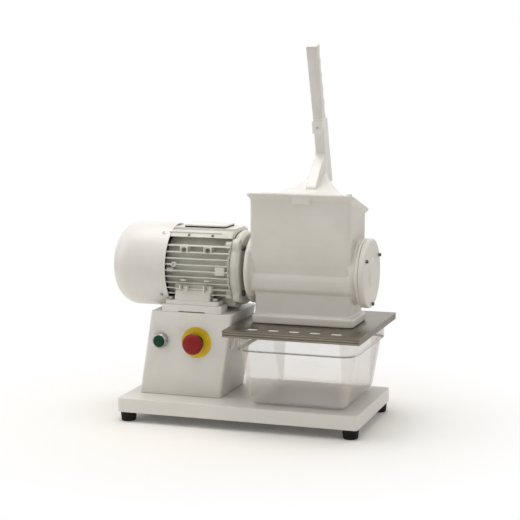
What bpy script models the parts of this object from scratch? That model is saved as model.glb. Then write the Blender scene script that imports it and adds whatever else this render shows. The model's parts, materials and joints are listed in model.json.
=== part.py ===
# Electric grater: a finned motor on a slanted stand turns a toothed drum inside
# a cast hopper, and the gratings fall through the shelf into a clear container.
# Metres, +Z up, X from the motor to the grater, Y from the front to the back.

import math

import bmesh
import bpy
from mathutils import Vector

for item in list(bpy.data.objects):
    bpy.data.objects.remove(item, do_unlink=True)

# Clearances
seat_gap = 0.0003
running_gap = 0.0004
socket_gap = 0.0005
cut_reach = 0.01

# Base tray and its feet
base_length = 0.474
base_depth = 0.251
base_height = 0.0275
base_top_thickness = 0.006
base_side_wall = 0.008
base_end_wall = 0.034
base_rib = 0.008
base_corner = 0.007
foot_height = 0.018
foot_top_radius = 0.0155
foot_bottom_radius = 0.014
foot_recess_radius = 0.006
foot_recess_depth = 0.006
foot_inset = 0.017

# Slanted motor stand
stand_left = -0.213
stand_width = 0.1655
stand_slant = 0.0255
stand_depth = 0.1414
stand_wall = 0.003
stand_corner = 0.006

# Bars under the motor feet
bar_end = 0.0065
bar_depth = 0.036
bar_height = 0.0145
bar_relief_length = 0.054
bar_relief_height = 0.002

# Motor
axis_height = 0.290
motor_shaft_rise = 0.0669
motor_left = -0.168
motor_right = -0.030
core_radius = 0.064
fin_radius = 0.078
fin_pitch = 0.0115
fin_thickness = 0.0026
fins_each_side = 9
bottom_fins = 6
housing_bore = 0.050
stator_bore = 0.034
stator_rear_end = 0.030
stator_front_end = 0.028
rotor_gap = 0.0006
terminal_pad_width = 0.060
terminal_pad_height = 0.0765
gasket_length = 0.084
gasket_width = 0.054
gasket_thickness = 0.002
terminal_cover_thickness = 0.003
foot_bolt_end = 0.0095
motor_foot_depth = 0.030
motor_foot_thickness = 0.008
foot_block_clearance = 0.0033
foot_block_height = 0.0275
foot_block_lean = 0.006
foot_boss_depth = 0.0097
foot_boss_height = 0.011
foot_pocket_inner = 0.020
foot_bolt_pitch = 0.089
foot_bolt_inset = 0.011
bolt_head_radius = 0.0052
bolt_head_height = 0.007
bolt_shank_radius = 0.0035

# End shields, fan and cowl
shield_thickness = 0.018
shield_radius = 0.068
shield_lobe_radius = 0.0125
stud_circle = 0.061
stud_radius = 0.0062
stud_count = 4
rear_shield_thickness = 0.012
bearing_radius = 0.0172
bearing_width = 0.0105
cowl_radius = 0.081
cowl_wall = 0.0025
cowl_left = -0.273
cowl_right = -0.155
cowl_rounding = 0.040
cowl_slots = 12
cowl_slot_width = 0.004
cowl_slot_inner = 0.011
cowl_slot_outer = 0.037
motor_shaft_radius = 0.0095
fan_radius = 0.062
fan_hub_radius = 0.016
fan_length = 0.030
fan_blades = 8
fan_blade_thickness = 0.002
fan_shield_gap = 0.012
coupling_radius = 0.0162
coupling_length = 0.034

# Grater body
body_left = 0.010
body_right = 0.2035
body_front = -0.0635
body_back = 0.052
body_wall = 0.0065
body_corner = 0.006
rim_rise = 0.1495
rim_slope = 0.29
rim_flare = 0.0075
rim_drop = 0.012
waist_drop = 0.0015
waist_inset = 0.014
waist_rise = 0.074
band_drop = 0.0365
band_half_depth = 0.0545
chamber_radius = 0.0445
chamber_left = 0.0225
chute_half_depth = 0.0445
chute_wall = 0.009
body_foot_thickness = 0.0165
body_foot_overhang = 0.0075
left_disc_radius = 0.067
left_disc_thickness = 0.009
flange_gap = 0.009
neck_radius = 0.057
neck_length = 0.0085
cover_radius = 0.0655
body_flange_thickness = 0.007
cover_thickness = 0.0112
cover_boss_radius = 0.026
cover_boss_rise = 0.003
cover_screw_circle = 0.0577
cover_screw_count = 3
cover_screw_head_radius = 0.0042
cover_screw_head_height = 0.005
cover_screw_shank_radius = 0.0025

# Grating drum
drum_tip_radius = 0.0415
drum_tooth_height = 0.0028
drum_end_gap = 0.0022
drum_rows = 17
drum_teeth_around = 30
drum_tooth_lean = 0.35
drum_shaft_radius = 0.010

# Shelf and its arms
shelf_left = -0.018
shelf_right = 0.244
shelf_depth = 0.289
body_axis_rise = 0.098
shelf_sheet = 0.002
shelf_lip = 0.012
shelf_slot_count = 5
shelf_slot_length = 0.020
shelf_slot_width = 0.012
shelf_slot_pitch = 0.040
shelf_slot_setback = 0.0305
arm_width = 0.013
arm_thickness = 0.009
arm_leg_height = 0.050
arm_leg_thickness = 0.006
body_bolt_setback = 0.0065
nut_height = 0.005

# Press lever
hinge_y = 0.070
hinge_rise = 0.125
hinge_radius = 0.0105
hinge_width = 0.080
ear_thickness = 0.010
pin_radius = 0.004
presser_side_gap = 0.0093
presser_front_gap = 0.0105
presser_side_height = 0.008
presser_back = 0.027
shoulder_rise = 0.085
stem_top_rise = 0.145
stem_setback = 0.0065
stem_lean = 0.255
stem_half_width = 0.0095
stem_half_depth = 0.0135
grip_length = 0.156
grip_bottom_half_width = 0.0085
grip_top_half_width = 0.0107
grip_half_depth = 0.0115
grip_ridge_pitch = 0.028
grip_ridge_height = 0.0016

# Clear container
container_left = -0.004
container_width = 0.236
container_depth = 0.246
container_clearance = 0.0147
container_collar = 0.023
container_shoulder = 0.003
container_wall = 0.0028
container_taper = 0.018
container_rim = 0.006
container_corner = 0.032

# Push buttons
button_drop = 0.0565
start_x = -0.167
stop_x = -0.0947
bezel_radius = 0.0148
bezel_length = 0.012
button_hole_radius = 0.0110
button_neck_radius = 0.0107
button_neck_length = 0.020
cap_radius = 0.0109
cap_reach = 0.0150
cap_stroke = 0.004
label_radius = 0.030
label_thickness = 0.001
collar_length = 0.0115
mushroom_radius = 0.020
mushroom_reach = 0.0300
mushroom_height = 0.0120
mushroom_stroke = 0.005
plunger_radius = 0.0065
block_width = 0.030
block_height = 0.040
block_depth = 0.028
gland_radius = 0.0115
gland_length = 0.020
gland_rise = 0.0395

# Places that follow from the sizes
motor_foot_length = foot_bolt_pitch + 2 * foot_bolt_end
foot_block_width = foot_bolt_pitch - 2 * (bolt_head_radius + foot_block_clearance)
bar_length = motor_foot_length + 2 * bar_end
base_top = foot_height + base_height
stand_bottom = base_top + seat_gap
stand_height = axis_height - motor_shaft_rise - bar_height - base_top - 3 * seat_gap
stand_top = stand_bottom + stand_height
button_height = stand_top - button_drop
gland_height = base_top + gland_rise
stand_front = -stand_depth / 2
stand_middle = stand_left + stand_slant + stand_width / 2
bar_bottom = stand_top + seat_gap
bar_top = bar_bottom + bar_height
foot_seat = bar_top + seat_gap
cowl_inner = cowl_radius - cowl_wall
shield_left = motor_right + seat_gap
shield_right = shield_left + shield_thickness
disc_left = shield_right + flange_gap
cover_seat = body_right + neck_length + body_flange_thickness
cover_left = cover_seat + seat_gap
cover_right = cover_left + cover_thickness
body_middle = (body_left + body_right) / 2
rim_front_height = axis_height + rim_rise
waist_height = axis_height - waist_drop
band_bottom = axis_height - band_drop
shelf_top_height = axis_height - body_axis_rise
hinge_height = axis_height + hinge_rise
shoulder_height = hinge_height + shoulder_rise
stem_top_height = hinge_height + stem_top_rise
stem_root = hinge_y + stem_setback
container_height = (shelf_top_height - shelf_sheet - container_clearance - container_collar
                    - base_top - seat_gap)
foot_top = shelf_top_height + seat_gap + body_foot_thickness
arm_bottom = shelf_top_height - shelf_sheet - seat_gap - arm_thickness
drum_left = chamber_left + drum_end_gap
drum_right = cover_left - 0.0175
centre_x = (cowl_left + shelf_right) / 2

assembly = bpy.data.objects.new("assembly", None)
assembly.location = (-centre_x, 0.0, 0.0)
bpy.context.collection.objects.link(assembly)


def finish(name, colour, roughness, metallic=0.0, alpha=1.0):
    result = bpy.data.materials.new(name)
    result.use_nodes = True
    shader = result.node_tree.nodes["Principled BSDF"]
    shader.inputs["Base Color"].default_value = (*colour, 1.0)
    shader.inputs["Roughness"].default_value = roughness
    shader.inputs["Metallic"].default_value = metallic
    shader.inputs["Alpha"].default_value = alpha
    return result


def spot(axis, along, a, b):
    if axis == "x":
        return (along, a, b)
    if axis == "y":
        return (a, along, b)
    return (a, b, along)


def skin(bm, rings, closed=False):
    # Joins rings of equal length and caps the two ends
    rows = [[bm.verts.new(point) for point in ring] for ring in rings]
    pairs = list(zip(rows, rows[1:]))
    if closed:
        pairs.append((rows[-1], rows[0]))
    for low, high in pairs:
        for index in range(len(low)):
            after = (index + 1) % len(low)
            bm.faces.new((low[index], low[after], high[after], high[index]))
    if not closed:
        bm.faces.new(list(reversed(rows[0])))
        bm.faces.new(rows[-1])


def prism(bm, outline, axis, low, high):
    skin(bm, [[spot(axis, along, a, b) for a, b in outline] for along in (low, high)])


def turn(bm, profile, axis, centre=(0.0, 0.0), segments=32, phase=0.0):
    # Profile points are (along, radius); a radius of zero closes on the axis
    rows = []
    for along, radius in profile:
        if radius == 0.0:
            rows.append([bm.verts.new(spot(axis, along, *centre))])
            continue
        row = []
        for step in range(segments):
            angle = phase + 2 * math.pi * step / segments
            a = centre[0] + radius * math.cos(angle)
            b = centre[1] + radius * math.sin(angle)
            row.append(bm.verts.new(spot(axis, along, a, b)))
        rows.append(row)
    pairs = list(zip(rows, rows[1:]))
    if profile[0][1] != 0.0:
        pairs.append((rows[-1], rows[0]))
    for low, high in pairs:
        for step in range(segments):
            after = (step + 1) % segments
            if len(low) == 1:
                bm.faces.new((low[0], high[step], high[after]))
            elif len(high) == 1:
                bm.faces.new((low[step], low[after], high[0]))
            else:
                bm.faces.new((low[step], low[after], high[after], high[step]))


def disc(bm, low, high, radius, axis, centre, segments=32, phase=0.0):
    profile = [(low, 0.0), (low, radius), (high, radius), (high, 0.0)]
    turn(bm, profile, axis, centre, segments, phase)


def ring(bm, low, high, inner, outer, axis, centre, segments=32):
    profile = [(low, inner), (low, outer), (high, outer), (high, inner)]
    turn(bm, profile, axis, centre, segments)


def rounded(a_low, a_high, b_low, b_high, radius, steps=4):
    corners = (
        (a_high - radius, b_high - radius, 0.0),
        (a_low + radius, b_high - radius, 0.5),
        (a_low + radius, b_low + radius, 1.0),
        (a_high - radius, b_low + radius, 1.5),
    )
    points = []
    for a, b, start in corners:
        for step in range(steps + 1):
            angle = math.pi * (start + 0.5 * step / steps)
            points.append((a + radius * math.cos(angle), b + radius * math.sin(angle)))
    return points


def arc(centre_a, centre_b, radius, start, end, steps):
    points = []
    for step in range(steps + 1):
        angle = math.radians(start + (end - start) * step / steps)
        points.append((centre_a + radius * math.cos(angle), centre_b + radius * math.sin(angle)))
    return points


def flatten_faces(bm):
    # Faces whose corners don't share one plane become triangles
    bm.normal_update()
    bent = []
    for face in bm.faces:
        middle = face.calc_center_median()
        if any(abs((corner.co - middle).dot(face.normal)) > 1e-7 for corner in face.verts):
            bent.append(face)
    bmesh.ops.triangulate(bm, faces=bent)


def place(name, bm, look, origin=(0.0, 0.0, 0.0), smooth=True):
    flatten_faces(bm)
    bmesh.ops.recalc_face_normals(bm, faces=bm.faces[:])
    bmesh.ops.translate(bm, verts=bm.verts[:], vec=-Vector(origin))
    mesh = bpy.data.meshes.new(name)
    bm.to_mesh(mesh)
    bm.free()
    mesh.materials.append(look)
    if smooth:
        mesh.shade_smooth()
        mesh.set_sharp_from_angle(angle=math.radians(35))
    thing = bpy.data.objects.new(name, mesh)
    thing.location = origin
    thing.parent = assembly
    bpy.context.collection.objects.link(thing)
    return thing


def soften(thing, width, segments=2):
    edge = thing.modifiers.new("edges", "BEVEL")
    edge.width = width
    edge.segments = segments
    edge.limit_method = "ANGLE"
    edge.angle_limit = math.radians(50)


def combine(thing, tool, operation):
    tool.hide_render = True
    tool.display_type = "WIRE"
    step = thing.modifiers.new(tool.name, "BOOLEAN")
    step.operation = operation
    step.solver = "EXACT"
    step.object = tool


def cut(thing, tool):
    combine(thing, tool, "DIFFERENCE")


def weld(thing, tool):
    combine(thing, tool, "UNION")


white_enamel = finish("white_enamel", (0.86, 0.85, 0.82), 0.35)
white_panel = finish("white_panel", (0.82, 0.80, 0.77), 0.45)
cast_aluminium = finish("cast_aluminium", (0.80, 0.80, 0.76), 0.5, 0.4)
steel = finish("steel", (0.55, 0.54, 0.52), 0.3, 1.0)
stainless_sheet = finish("stainless_sheet", (0.55, 0.52, 0.48), 0.35, 1.0)
dark_steel = finish("dark_steel", (0.12, 0.12, 0.12), 0.4, 0.9)
stator_iron = finish("stator_iron", (0.25, 0.24, 0.23), 0.6, 0.6)
black_rubber = finish("black_rubber", (0.02, 0.02, 0.02), 0.7)
black_plastic = finish("black_plastic", (0.03, 0.03, 0.03), 0.5)
white_plastic = finish("white_plastic", (0.88, 0.88, 0.86), 0.35)
clear_plastic = finish("clear_plastic", (0.88, 0.87, 0.84), 0.12, 0.0, 0.35)
green_plastic = finish("green_plastic", (0.0, 0.16, 0.07), 0.4)
red_plastic = finish("red_plastic", (0.55, 0.02, 0.03), 0.35)
yellow_plastic = finish("yellow_plastic", (0.9, 0.6, 0.02), 0.45)
chrome_ring = finish("chrome_ring", (0.7, 0.7, 0.7), 0.15, 1.0)


def make_base_plate():
    half_length = base_length / 2
    half_depth = base_depth / 2
    bm = bmesh.new()
    outline = rounded(-half_length, half_length, -half_depth, half_depth, base_corner)
    prism(bm, outline, "z", foot_height, base_top)
    plate = place("base_plate", bm, white_panel)
    soften(plate, 0.0015)
    bays = 3
    bay_start = -half_length + base_end_wall
    bay_length = (base_length - 2 * base_end_wall - (bays - 1) * base_rib) / bays
    bay_side = half_depth - base_side_wall
    bm = bmesh.new()
    for bay in range(bays):
        low = bay_start + bay * (bay_length + base_rib)
        outline = rounded(low, low + bay_length, -bay_side, bay_side, 0.012, 3)
        prism(bm, outline, "z", foot_height - cut_reach, base_top - base_top_thickness)
    cut(plate, place("base_bays", bm, white_panel))


def make_rubber_feet():
    top = foot_height - seat_gap
    profile = [
        (foot_recess_depth, 0.0),
        (foot_recess_depth, foot_recess_radius),
        (0.0, foot_recess_radius),
        (0.0, foot_bottom_radius - 0.001),
        (0.001, foot_bottom_radius),
        (top, foot_top_radius),
        (top, 0.0),
    ]
    number = 0
    for side_x in (-1, 1):
        for side_y in (-1, 1):
            number += 1
            x = side_x * (base_length / 2 - foot_inset)
            y = side_y * (base_depth / 2 - foot_inset)
            bm = bmesh.new()
            turn(bm, profile, "z", (x, y), 18)
            place(f"rubber_foot_{number}", bm, black_rubber)


def stand_ring(height, inset):
    shift = stand_slant * (height - stand_bottom) / stand_height
    left = stand_left + shift + inset
    right = stand_left + shift + stand_width - inset
    side = stand_depth / 2 - inset
    radius = max(stand_corner - inset, 0.002)
    return [(x, y, height) for x, y in rounded(left, right, -side, side, radius)]


def stand_right_at(height):
    return stand_left + stand_width + stand_slant * (height - stand_bottom) / stand_height


def make_motor_stand():
    bm = bmesh.new()
    skin(bm, [stand_ring(stand_bottom, 0.0), stand_ring(stand_top, 0.0)])
    stand = place("motor_stand", bm, white_panel)
    soften(stand, 0.0012)
    bm = bmesh.new()
    low = stand_bottom - cut_reach
    skin(bm, [stand_ring(low, stand_wall), stand_ring(stand_top - stand_wall, stand_wall)])
    cut(stand, place("stand_inside", bm, white_panel))
    bm = bmesh.new()
    for x in (start_x, stop_x):
        disc(bm, stand_front - cut_reach, stand_front + cut_reach, button_hole_radius, "y",
             (x, button_height), 28)
    gland_x = stand_middle - 0.030
    disc(bm, -stand_front - cut_reach, -stand_front + cut_reach, gland_radius * 0.72, "y",
         (gland_x, gland_height), 20)
    cut(stand, place("stand_holes", bm, white_panel))


def cowl_relief(name, look):
    # Hollow that keeps a neighbour clear of the round cowl
    bm = bmesh.new()
    disc(bm, cowl_left, cowl_right + 0.0003, cowl_radius + 0.0009, "x", (0.0, axis_height), 48, 0.05)
    return place(name + "_cowl_relief", bm, look)


def make_mounting_bars():
    names = {-1: "mounting_bar_front", 1: "mounting_bar_rear"}
    left = stand_middle - bar_length / 2
    for side, name in names.items():
        outer = side * (stand_depth / 2 - 0.0004)
        inner = side * (stand_depth / 2 - bar_depth)
        low, high = sorted((outer, inner))
        bm = bmesh.new()
        outline = rounded(left, left + bar_length, low, high, 0.002, 2)
        prism(bm, outline, "z", bar_bottom, bar_top)
        bar = place(name, bm, white_panel)
        bm = bmesh.new()
        relief = stand_middle - bar_relief_length / 2
        outline = rounded(relief, relief + bar_relief_length, low - cut_reach, high + cut_reach, 0.001, 1)
        prism(bm, outline, "z", bar_bottom - cut_reach, bar_bottom + bar_relief_height)
        cut(bar, place(name + "_relief", bm, white_panel))
        cut(bar, cowl_relief(name, white_panel))


def foot_bolt_spots():
    middle = stand_middle
    spots = []
    for side in (-1, 1):
        for end in (-1, 1):
            x = middle + end * foot_bolt_pitch / 2
            spots.append((x, side * (stand_depth / 2 - foot_bolt_inset), side))
    return spots


def make_motor_feet():
    # Each foot is a pad with a raised block between its two bolts
    for side, name in ((-1, "motor_foot_front"), (1, "motor_foot_rear")):
        outer = stand_depth / 2 - 0.001
        inner = outer - motor_foot_depth
        left = stand_middle - motor_foot_length / 2
        bm = bmesh.new()
        low, high = sorted((side * outer, side * inner))
        outline = rounded(left, left + motor_foot_length, low, high, 0.004, 3)
        prism(bm, outline, "z", foot_seat, foot_seat + motor_foot_thickness)
        foot = place(name, bm, white_enamel)
        block_left = stand_middle - foot_block_width / 2
        top = foot_seat + foot_block_height
        bm = bmesh.new()
        base_outline = rounded(block_left, block_left + foot_block_width, *sorted(
            (side * outer, side * (inner + 0.002))), 0.003, 2)
        top_outline = rounded(block_left, block_left + foot_block_width, *sorted(
            (side * (outer - foot_block_lean), side * (inner + 0.002))), 0.003, 2)
        skin(bm, [
            [(x, y, foot_seat + 0.002) for x, y in base_outline],
            [(x, y, top) for x, y in top_outline],
        ])
        weld(foot, place(name + "_block", bm, white_enamel))
        bm = bmesh.new()
        for x, y, bolt_side in foot_bolt_spots():
            if bolt_side == side:
                disc(bm, foot_seat - cut_reach, top, bolt_shank_radius + seat_gap, "z", (x, y), 16)
        cut(foot, place(name + "_holes", bm, white_enamel))
        cut(foot, cowl_relief(name, white_enamel))


def make_foot_bolts():
    for number, (x, y, side) in enumerate(foot_bolt_spots(), 1):
        seat = foot_seat + motor_foot_thickness + seat_gap
        bm = bmesh.new()
        profile = [
            (foot_seat, 0.0),
            (foot_seat, bolt_shank_radius),
            (seat, bolt_shank_radius),
            (seat, bolt_head_radius),
            (seat + bolt_head_height, bolt_head_radius),
            (seat + bolt_head_height, 0.0),
        ]
        turn(bm, profile, "z", (x, y), 12)
        place(f"foot_bolt_{number}", bm, steel)


def finned_half():
    # Front half of the housing's section, from the top to the bottom
    pad = terminal_pad_width / 2
    points = [
        (-pad, terminal_pad_height),
        (-pad, terminal_pad_height - 0.0065),
        (-pad - 0.004, terminal_pad_height - 0.0065),
        (-pad - 0.004, terminal_pad_height - 0.004),
        (-pad - 0.010, terminal_pad_height - 0.004),
        (-pad - 0.0205, terminal_pad_height - 0.016),
    ]
    ledge = terminal_pad_height - 0.0175
    points.append((-math.sqrt(core_radius ** 2 - ledge ** 2), ledge))
    half = fin_thickness / 2
    lowest = 0.0
    for step in range(fins_each_side):
        height = (fins_each_side // 2 - step) * fin_pitch - 0.001
        tip = -math.sqrt(fin_radius ** 2 - height ** 2)
        for offset, at_tip in ((half, False), (half * 0.6, True), (-half * 0.6, True), (-half, False)):
            level = height + offset
            reach = tip if at_tip else -math.sqrt(core_radius ** 2 - level ** 2)
            points.append((reach, level))
        lowest = height - fin_pitch / 2
        if step < fins_each_side - 1:
            points.append((-math.sqrt(core_radius ** 2 - lowest ** 2), lowest))
    for step in range(bottom_fins // 2):
        place_y = -(bottom_fins / 2 - step - 0.5) * fin_pitch
        tip = -math.sqrt((fin_radius - 0.001) ** 2 - place_y ** 2)
        for offset, at_tip in ((-half, False), (-half * 0.6, True), (half * 0.6, True), (half, False)):
            across = place_y + offset
            reach = tip if at_tip else -math.sqrt(core_radius ** 2 - across ** 2)
            points.append((across, reach))
    return points


def finned_outline():
    front = finned_half()
    back = [(-y, z) for y, z in reversed(front)]
    return [(y, axis_height + z) for y, z in front + back]


def make_motor_housing():
    bm = bmesh.new()
    prism(bm, finned_outline(), "x", motor_left, motor_right)
    housing = place("motor_housing", bm, cast_aluminium, smooth=False)
    # The terminal pads stop short of the cowl
    bm = bmesh.new()
    ring(bm, motor_left - cut_reach, cowl_right + 0.001, fin_radius + 0.0001, 1.3 * fin_radius, "x",
         (0.0, axis_height), 48)
    cut(housing, place("housing_step", bm, cast_aluminium))
    bm = bmesh.new()
    disc(bm, motor_left - cut_reach, motor_right + cut_reach, housing_bore, "x", (0.0, axis_height), 36)
    cut(housing, place("housing_bore", bm, cast_aluminium))
    # Bosses that take the feet, and the pockets that clear them
    block_left = stand_middle - foot_block_width / 2
    foot_top_level = foot_seat + foot_block_height + seat_gap
    for side, name in ((-1, "front"), (1, "rear")):
        outer = stand_depth / 2 - 0.001 - foot_block_lean
        bm = bmesh.new()
        low, high = sorted((side * (outer + 2 * cut_reach), side * foot_pocket_inner))
        outline = rounded(block_left - 0.001, block_left + foot_block_width + 0.001, low, high, 0.001, 1)
        prism(bm, outline, "z", foot_seat - 2 * cut_reach, foot_top_level)
        cut(housing, place("foot_pocket_" + name, bm, cast_aluminium))
        bm = bmesh.new()
        low, high = sorted((side * outer, side * (outer - foot_boss_depth)))
        outline = rounded(block_left, block_left + foot_block_width, low, high, 0.002, 2)
        prism(bm, outline, "z", foot_top_level, foot_top_level + foot_boss_height)
        weld(housing, place("foot_boss_" + name, bm, cast_aluminium))
    # Two square lugs bridge a pair of fins on the front
    lug_low = axis_height + 2.85 * fin_pitch
    lug_middle = (motor_left + motor_right) / 2
    for number, offset in enumerate((-0.020, 0.028)):
        bm = bmesh.new()
        outline = rounded(lug_middle + offset - 0.008, lug_middle + offset + 0.008, lug_low,
                          lug_low + 1.1 * fin_pitch, 0.001, 1)
        prism(bm, outline, "y", 0.009 - fin_radius, 0.012 - core_radius)
        weld(housing, place(f"front_lug_{number}", bm, cast_aluminium))


def make_terminal_cover():
    # A plain plate on its gasket closes the terminal pad
    middle = (cowl_right + motor_right) / 2
    bm = bmesh.new()
    outline = rounded(middle - gasket_length / 2, middle + gasket_length / 2,
                      -gasket_width / 2, gasket_width / 2, 0.004, 3)
    low = axis_height + terminal_pad_height + seat_gap
    prism(bm, outline, "z", low, low + gasket_thickness)
    place("terminal_gasket", bm, black_rubber)
    bm = bmesh.new()
    low += gasket_thickness + seat_gap
    prism(bm, outline, "z", low, low + terminal_cover_thickness)
    place("terminal_cover", bm, cast_aluminium)


def make_stator():
    bm = bmesh.new()
    ring(bm, motor_left + stator_rear_end, motor_right - stator_front_end, stator_bore,
         housing_bore - seat_gap, "x", (0.0, axis_height), 36)
    place("stator_core", bm, stator_iron)


def make_rear_shield():
    right = motor_left - seat_gap
    left = right - rear_shield_thickness
    bore = bearing_radius + seat_gap
    bm = bmesh.new()
    profile = [
        (left, bore),
        (left, 0.028),
        (left + 0.006, 0.034),
        (left + 0.006, core_radius - 0.002),
        (right, core_radius),
        (right, bore),
    ]
    turn(bm, profile, "x", (0.0, axis_height), 36)
    place("rear_shield", bm, cast_aluminium)


def make_front_shield():
    bore = bearing_radius + seat_gap
    hub = bearing_width + 0.0035
    bm = bmesh.new()
    profile = [
        (shield_left - hub, bore),
        (shield_left - hub, 0.027),
        (shield_left, 0.030),
        (shield_left, shield_radius),
        (shield_left + 0.007, shield_radius + 0.003),
        (shield_left + 0.012, shield_radius + 0.003),
        (shield_right, shield_radius - 0.002),
        (shield_right, bore),
    ]
    turn(bm, profile, "x", (0.0, axis_height), 40)
    shield = place("front_shield", bm, cast_aluminium)
    bm = bmesh.new()
    for corner in range(stud_count):
        angle = math.radians(45 + 90 * corner)
        y = (stud_circle + 0.0065) * math.cos(angle)
        z = axis_height + (stud_circle + 0.0065) * math.sin(angle)
        disc(bm, shield_left + 0.004, shield_right - 0.001, shield_lobe_radius, "x", (y, z), 20)
    weld(shield, place("shield_lobes", bm, cast_aluminium))


def make_flange_studs():
    for corner in range(stud_count):
        angle = math.radians(45 + 90 * corner)
        y = stud_circle * math.cos(angle)
        z = axis_height + stud_circle * math.sin(angle)
        bm = bmesh.new()
        disc(bm, shield_right + seat_gap, disc_left - seat_gap, stud_radius, "x", (y, z), 6)
        place(f"flange_nut_{corner + 1}", bm, steel, smooth=False)


def make_bearing(name, left, bore):
    bm = bmesh.new()
    ring(bm, left, left + bearing_width, bore, bearing_radius, "x", (0.0, axis_height), 28)
    place(name, bm, steel)


def make_bearings():
    motor_bore = motor_shaft_radius + running_gap
    drum_bore = drum_shaft_radius + running_gap
    rear_left = motor_left - seat_gap - rear_shield_thickness + 0.0005
    make_bearing("motor_bearing_rear", rear_left, motor_bore)
    make_bearing("motor_bearing_front", shield_left - bearing_width - 0.003, motor_bore)
    make_bearing("drum_bearing_left", chamber_left - bearing_width - 0.001, drum_bore)
    make_bearing("drum_bearing_right", cover_left - bearing_width - 0.0015, drum_bore)


def make_fan_cowl():
    flat = cowl_radius - cowl_rounding
    start = cowl_left + cowl_rounding
    outer = [(start - cowl_rounding * math.cos(t), flat + cowl_rounding * math.sin(t))
             for t in (math.pi / 2 * step / 6 for step in range(7))]
    inner_round = cowl_rounding - cowl_wall
    inner = [(start - inner_round * math.cos(t), flat + inner_round * math.sin(t))
             for t in (math.pi / 2 * step / 6 for step in range(7))]
    profile = [(cowl_left, 0.0)] + outer + [(cowl_right, cowl_radius), (cowl_right, cowl_inner)]
    profile += list(reversed(inner)) + [(cowl_left + cowl_wall, 0.0)]
    bm = bmesh.new()
    turn(bm, profile, "x", (0.0, axis_height), 40)
    cowl = place("fan_cowl", bm, white_enamel)
    bm = bmesh.new()
    for step in range(cowl_slots):
        angle = 2 * math.pi * (step + 0.5) / cowl_slots
        along = Vector((math.cos(angle), math.sin(angle)))
        across = Vector((-math.sin(angle), math.cos(angle))) * cowl_slot_width / 2
        corners = [
            along * cowl_slot_inner - across,
            along * cowl_slot_outer - across,
            along * cowl_slot_outer + across,
            along * cowl_slot_inner + across,
        ]
        outline = [(corner.x, axis_height + corner.y) for corner in corners]
        prism(bm, outline, "x", cowl_left - 0.005, cowl_left + cowl_wall + 0.004)
    cut(cowl, place("cowl_slots", bm, white_enamel))


def make_cooling_fan():
    right = motor_left - seat_gap - rear_shield_thickness - fan_shield_gap
    left = right - fan_length
    bore = motor_shaft_radius + seat_gap
    bm = bmesh.new()
    profile = [
        (left, bore),
        (left, fan_hub_radius),
        (right - 0.003, fan_hub_radius),
        (right - 0.003, fan_radius * 0.8),
        (right, fan_radius * 0.8),
        (right, bore),
    ]
    turn(bm, profile, "x", (0.0, axis_height), 32)
    fan = place("cooling_fan", bm, black_plastic, (left, 0.0, axis_height))
    bm = bmesh.new()
    for step in range(fan_blades):
        angle = 2 * math.pi * step / fan_blades
        along = Vector((math.cos(angle), math.sin(angle)))
        across = Vector((-math.sin(angle), math.cos(angle))) * fan_blade_thickness / 2
        corners = [
            along * (fan_hub_radius - 0.002) - across,
            along * fan_radius - across,
            along * fan_radius + across,
            along * (fan_hub_radius - 0.002) + across,
        ]
        outline = [(corner.x, axis_height + corner.y) for corner in corners]
        prism(bm, outline, "x", left + 0.002, right - 0.001)
    weld(fan, place("fan_blades", bm, black_plastic))


def make_motor_rotor():
    core_left = motor_left + 0.032
    core_right = motor_right - 0.030
    core = stator_bore - rotor_gap
    shaft_left = motor_left - rear_shield_thickness - fan_shield_gap - fan_length - 0.004
    shaft_right = disc_left - 0.0055
    bm = bmesh.new()
    profile = [
        (shaft_left, 0.0),
        (shaft_left, motor_shaft_radius),
        (core_left, motor_shaft_radius),
        (core_left, core),
        (core_right, core),
        (core_right, motor_shaft_radius),
        (shaft_right, motor_shaft_radius),
        (shaft_right, 0.0),
    ]
    turn(bm, profile, "x", (0.0, axis_height), 36)
    place("motor_rotor", bm, steel, (core_left, 0.0, axis_height))


def make_coupling():
    middle = disc_left - 0.005
    left = middle - coupling_length / 2
    bore = drum_shaft_radius + seat_gap
    bm = bmesh.new()
    ring(bm, left, left + coupling_length, bore, coupling_radius, "x", (0.0, axis_height), 28)
    place("shaft_coupling", bm, dark_steel, (middle, 0.0, axis_height))


def make_drum_shaft():
    left = disc_left - 0.0045
    right = cover_left - 0.002
    bm = bmesh.new()
    disc(bm, left, right, drum_shaft_radius, "x", (0.0, axis_height), 36)
    place("drum_shaft", bm, steel, (left, 0.0, axis_height))


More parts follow.
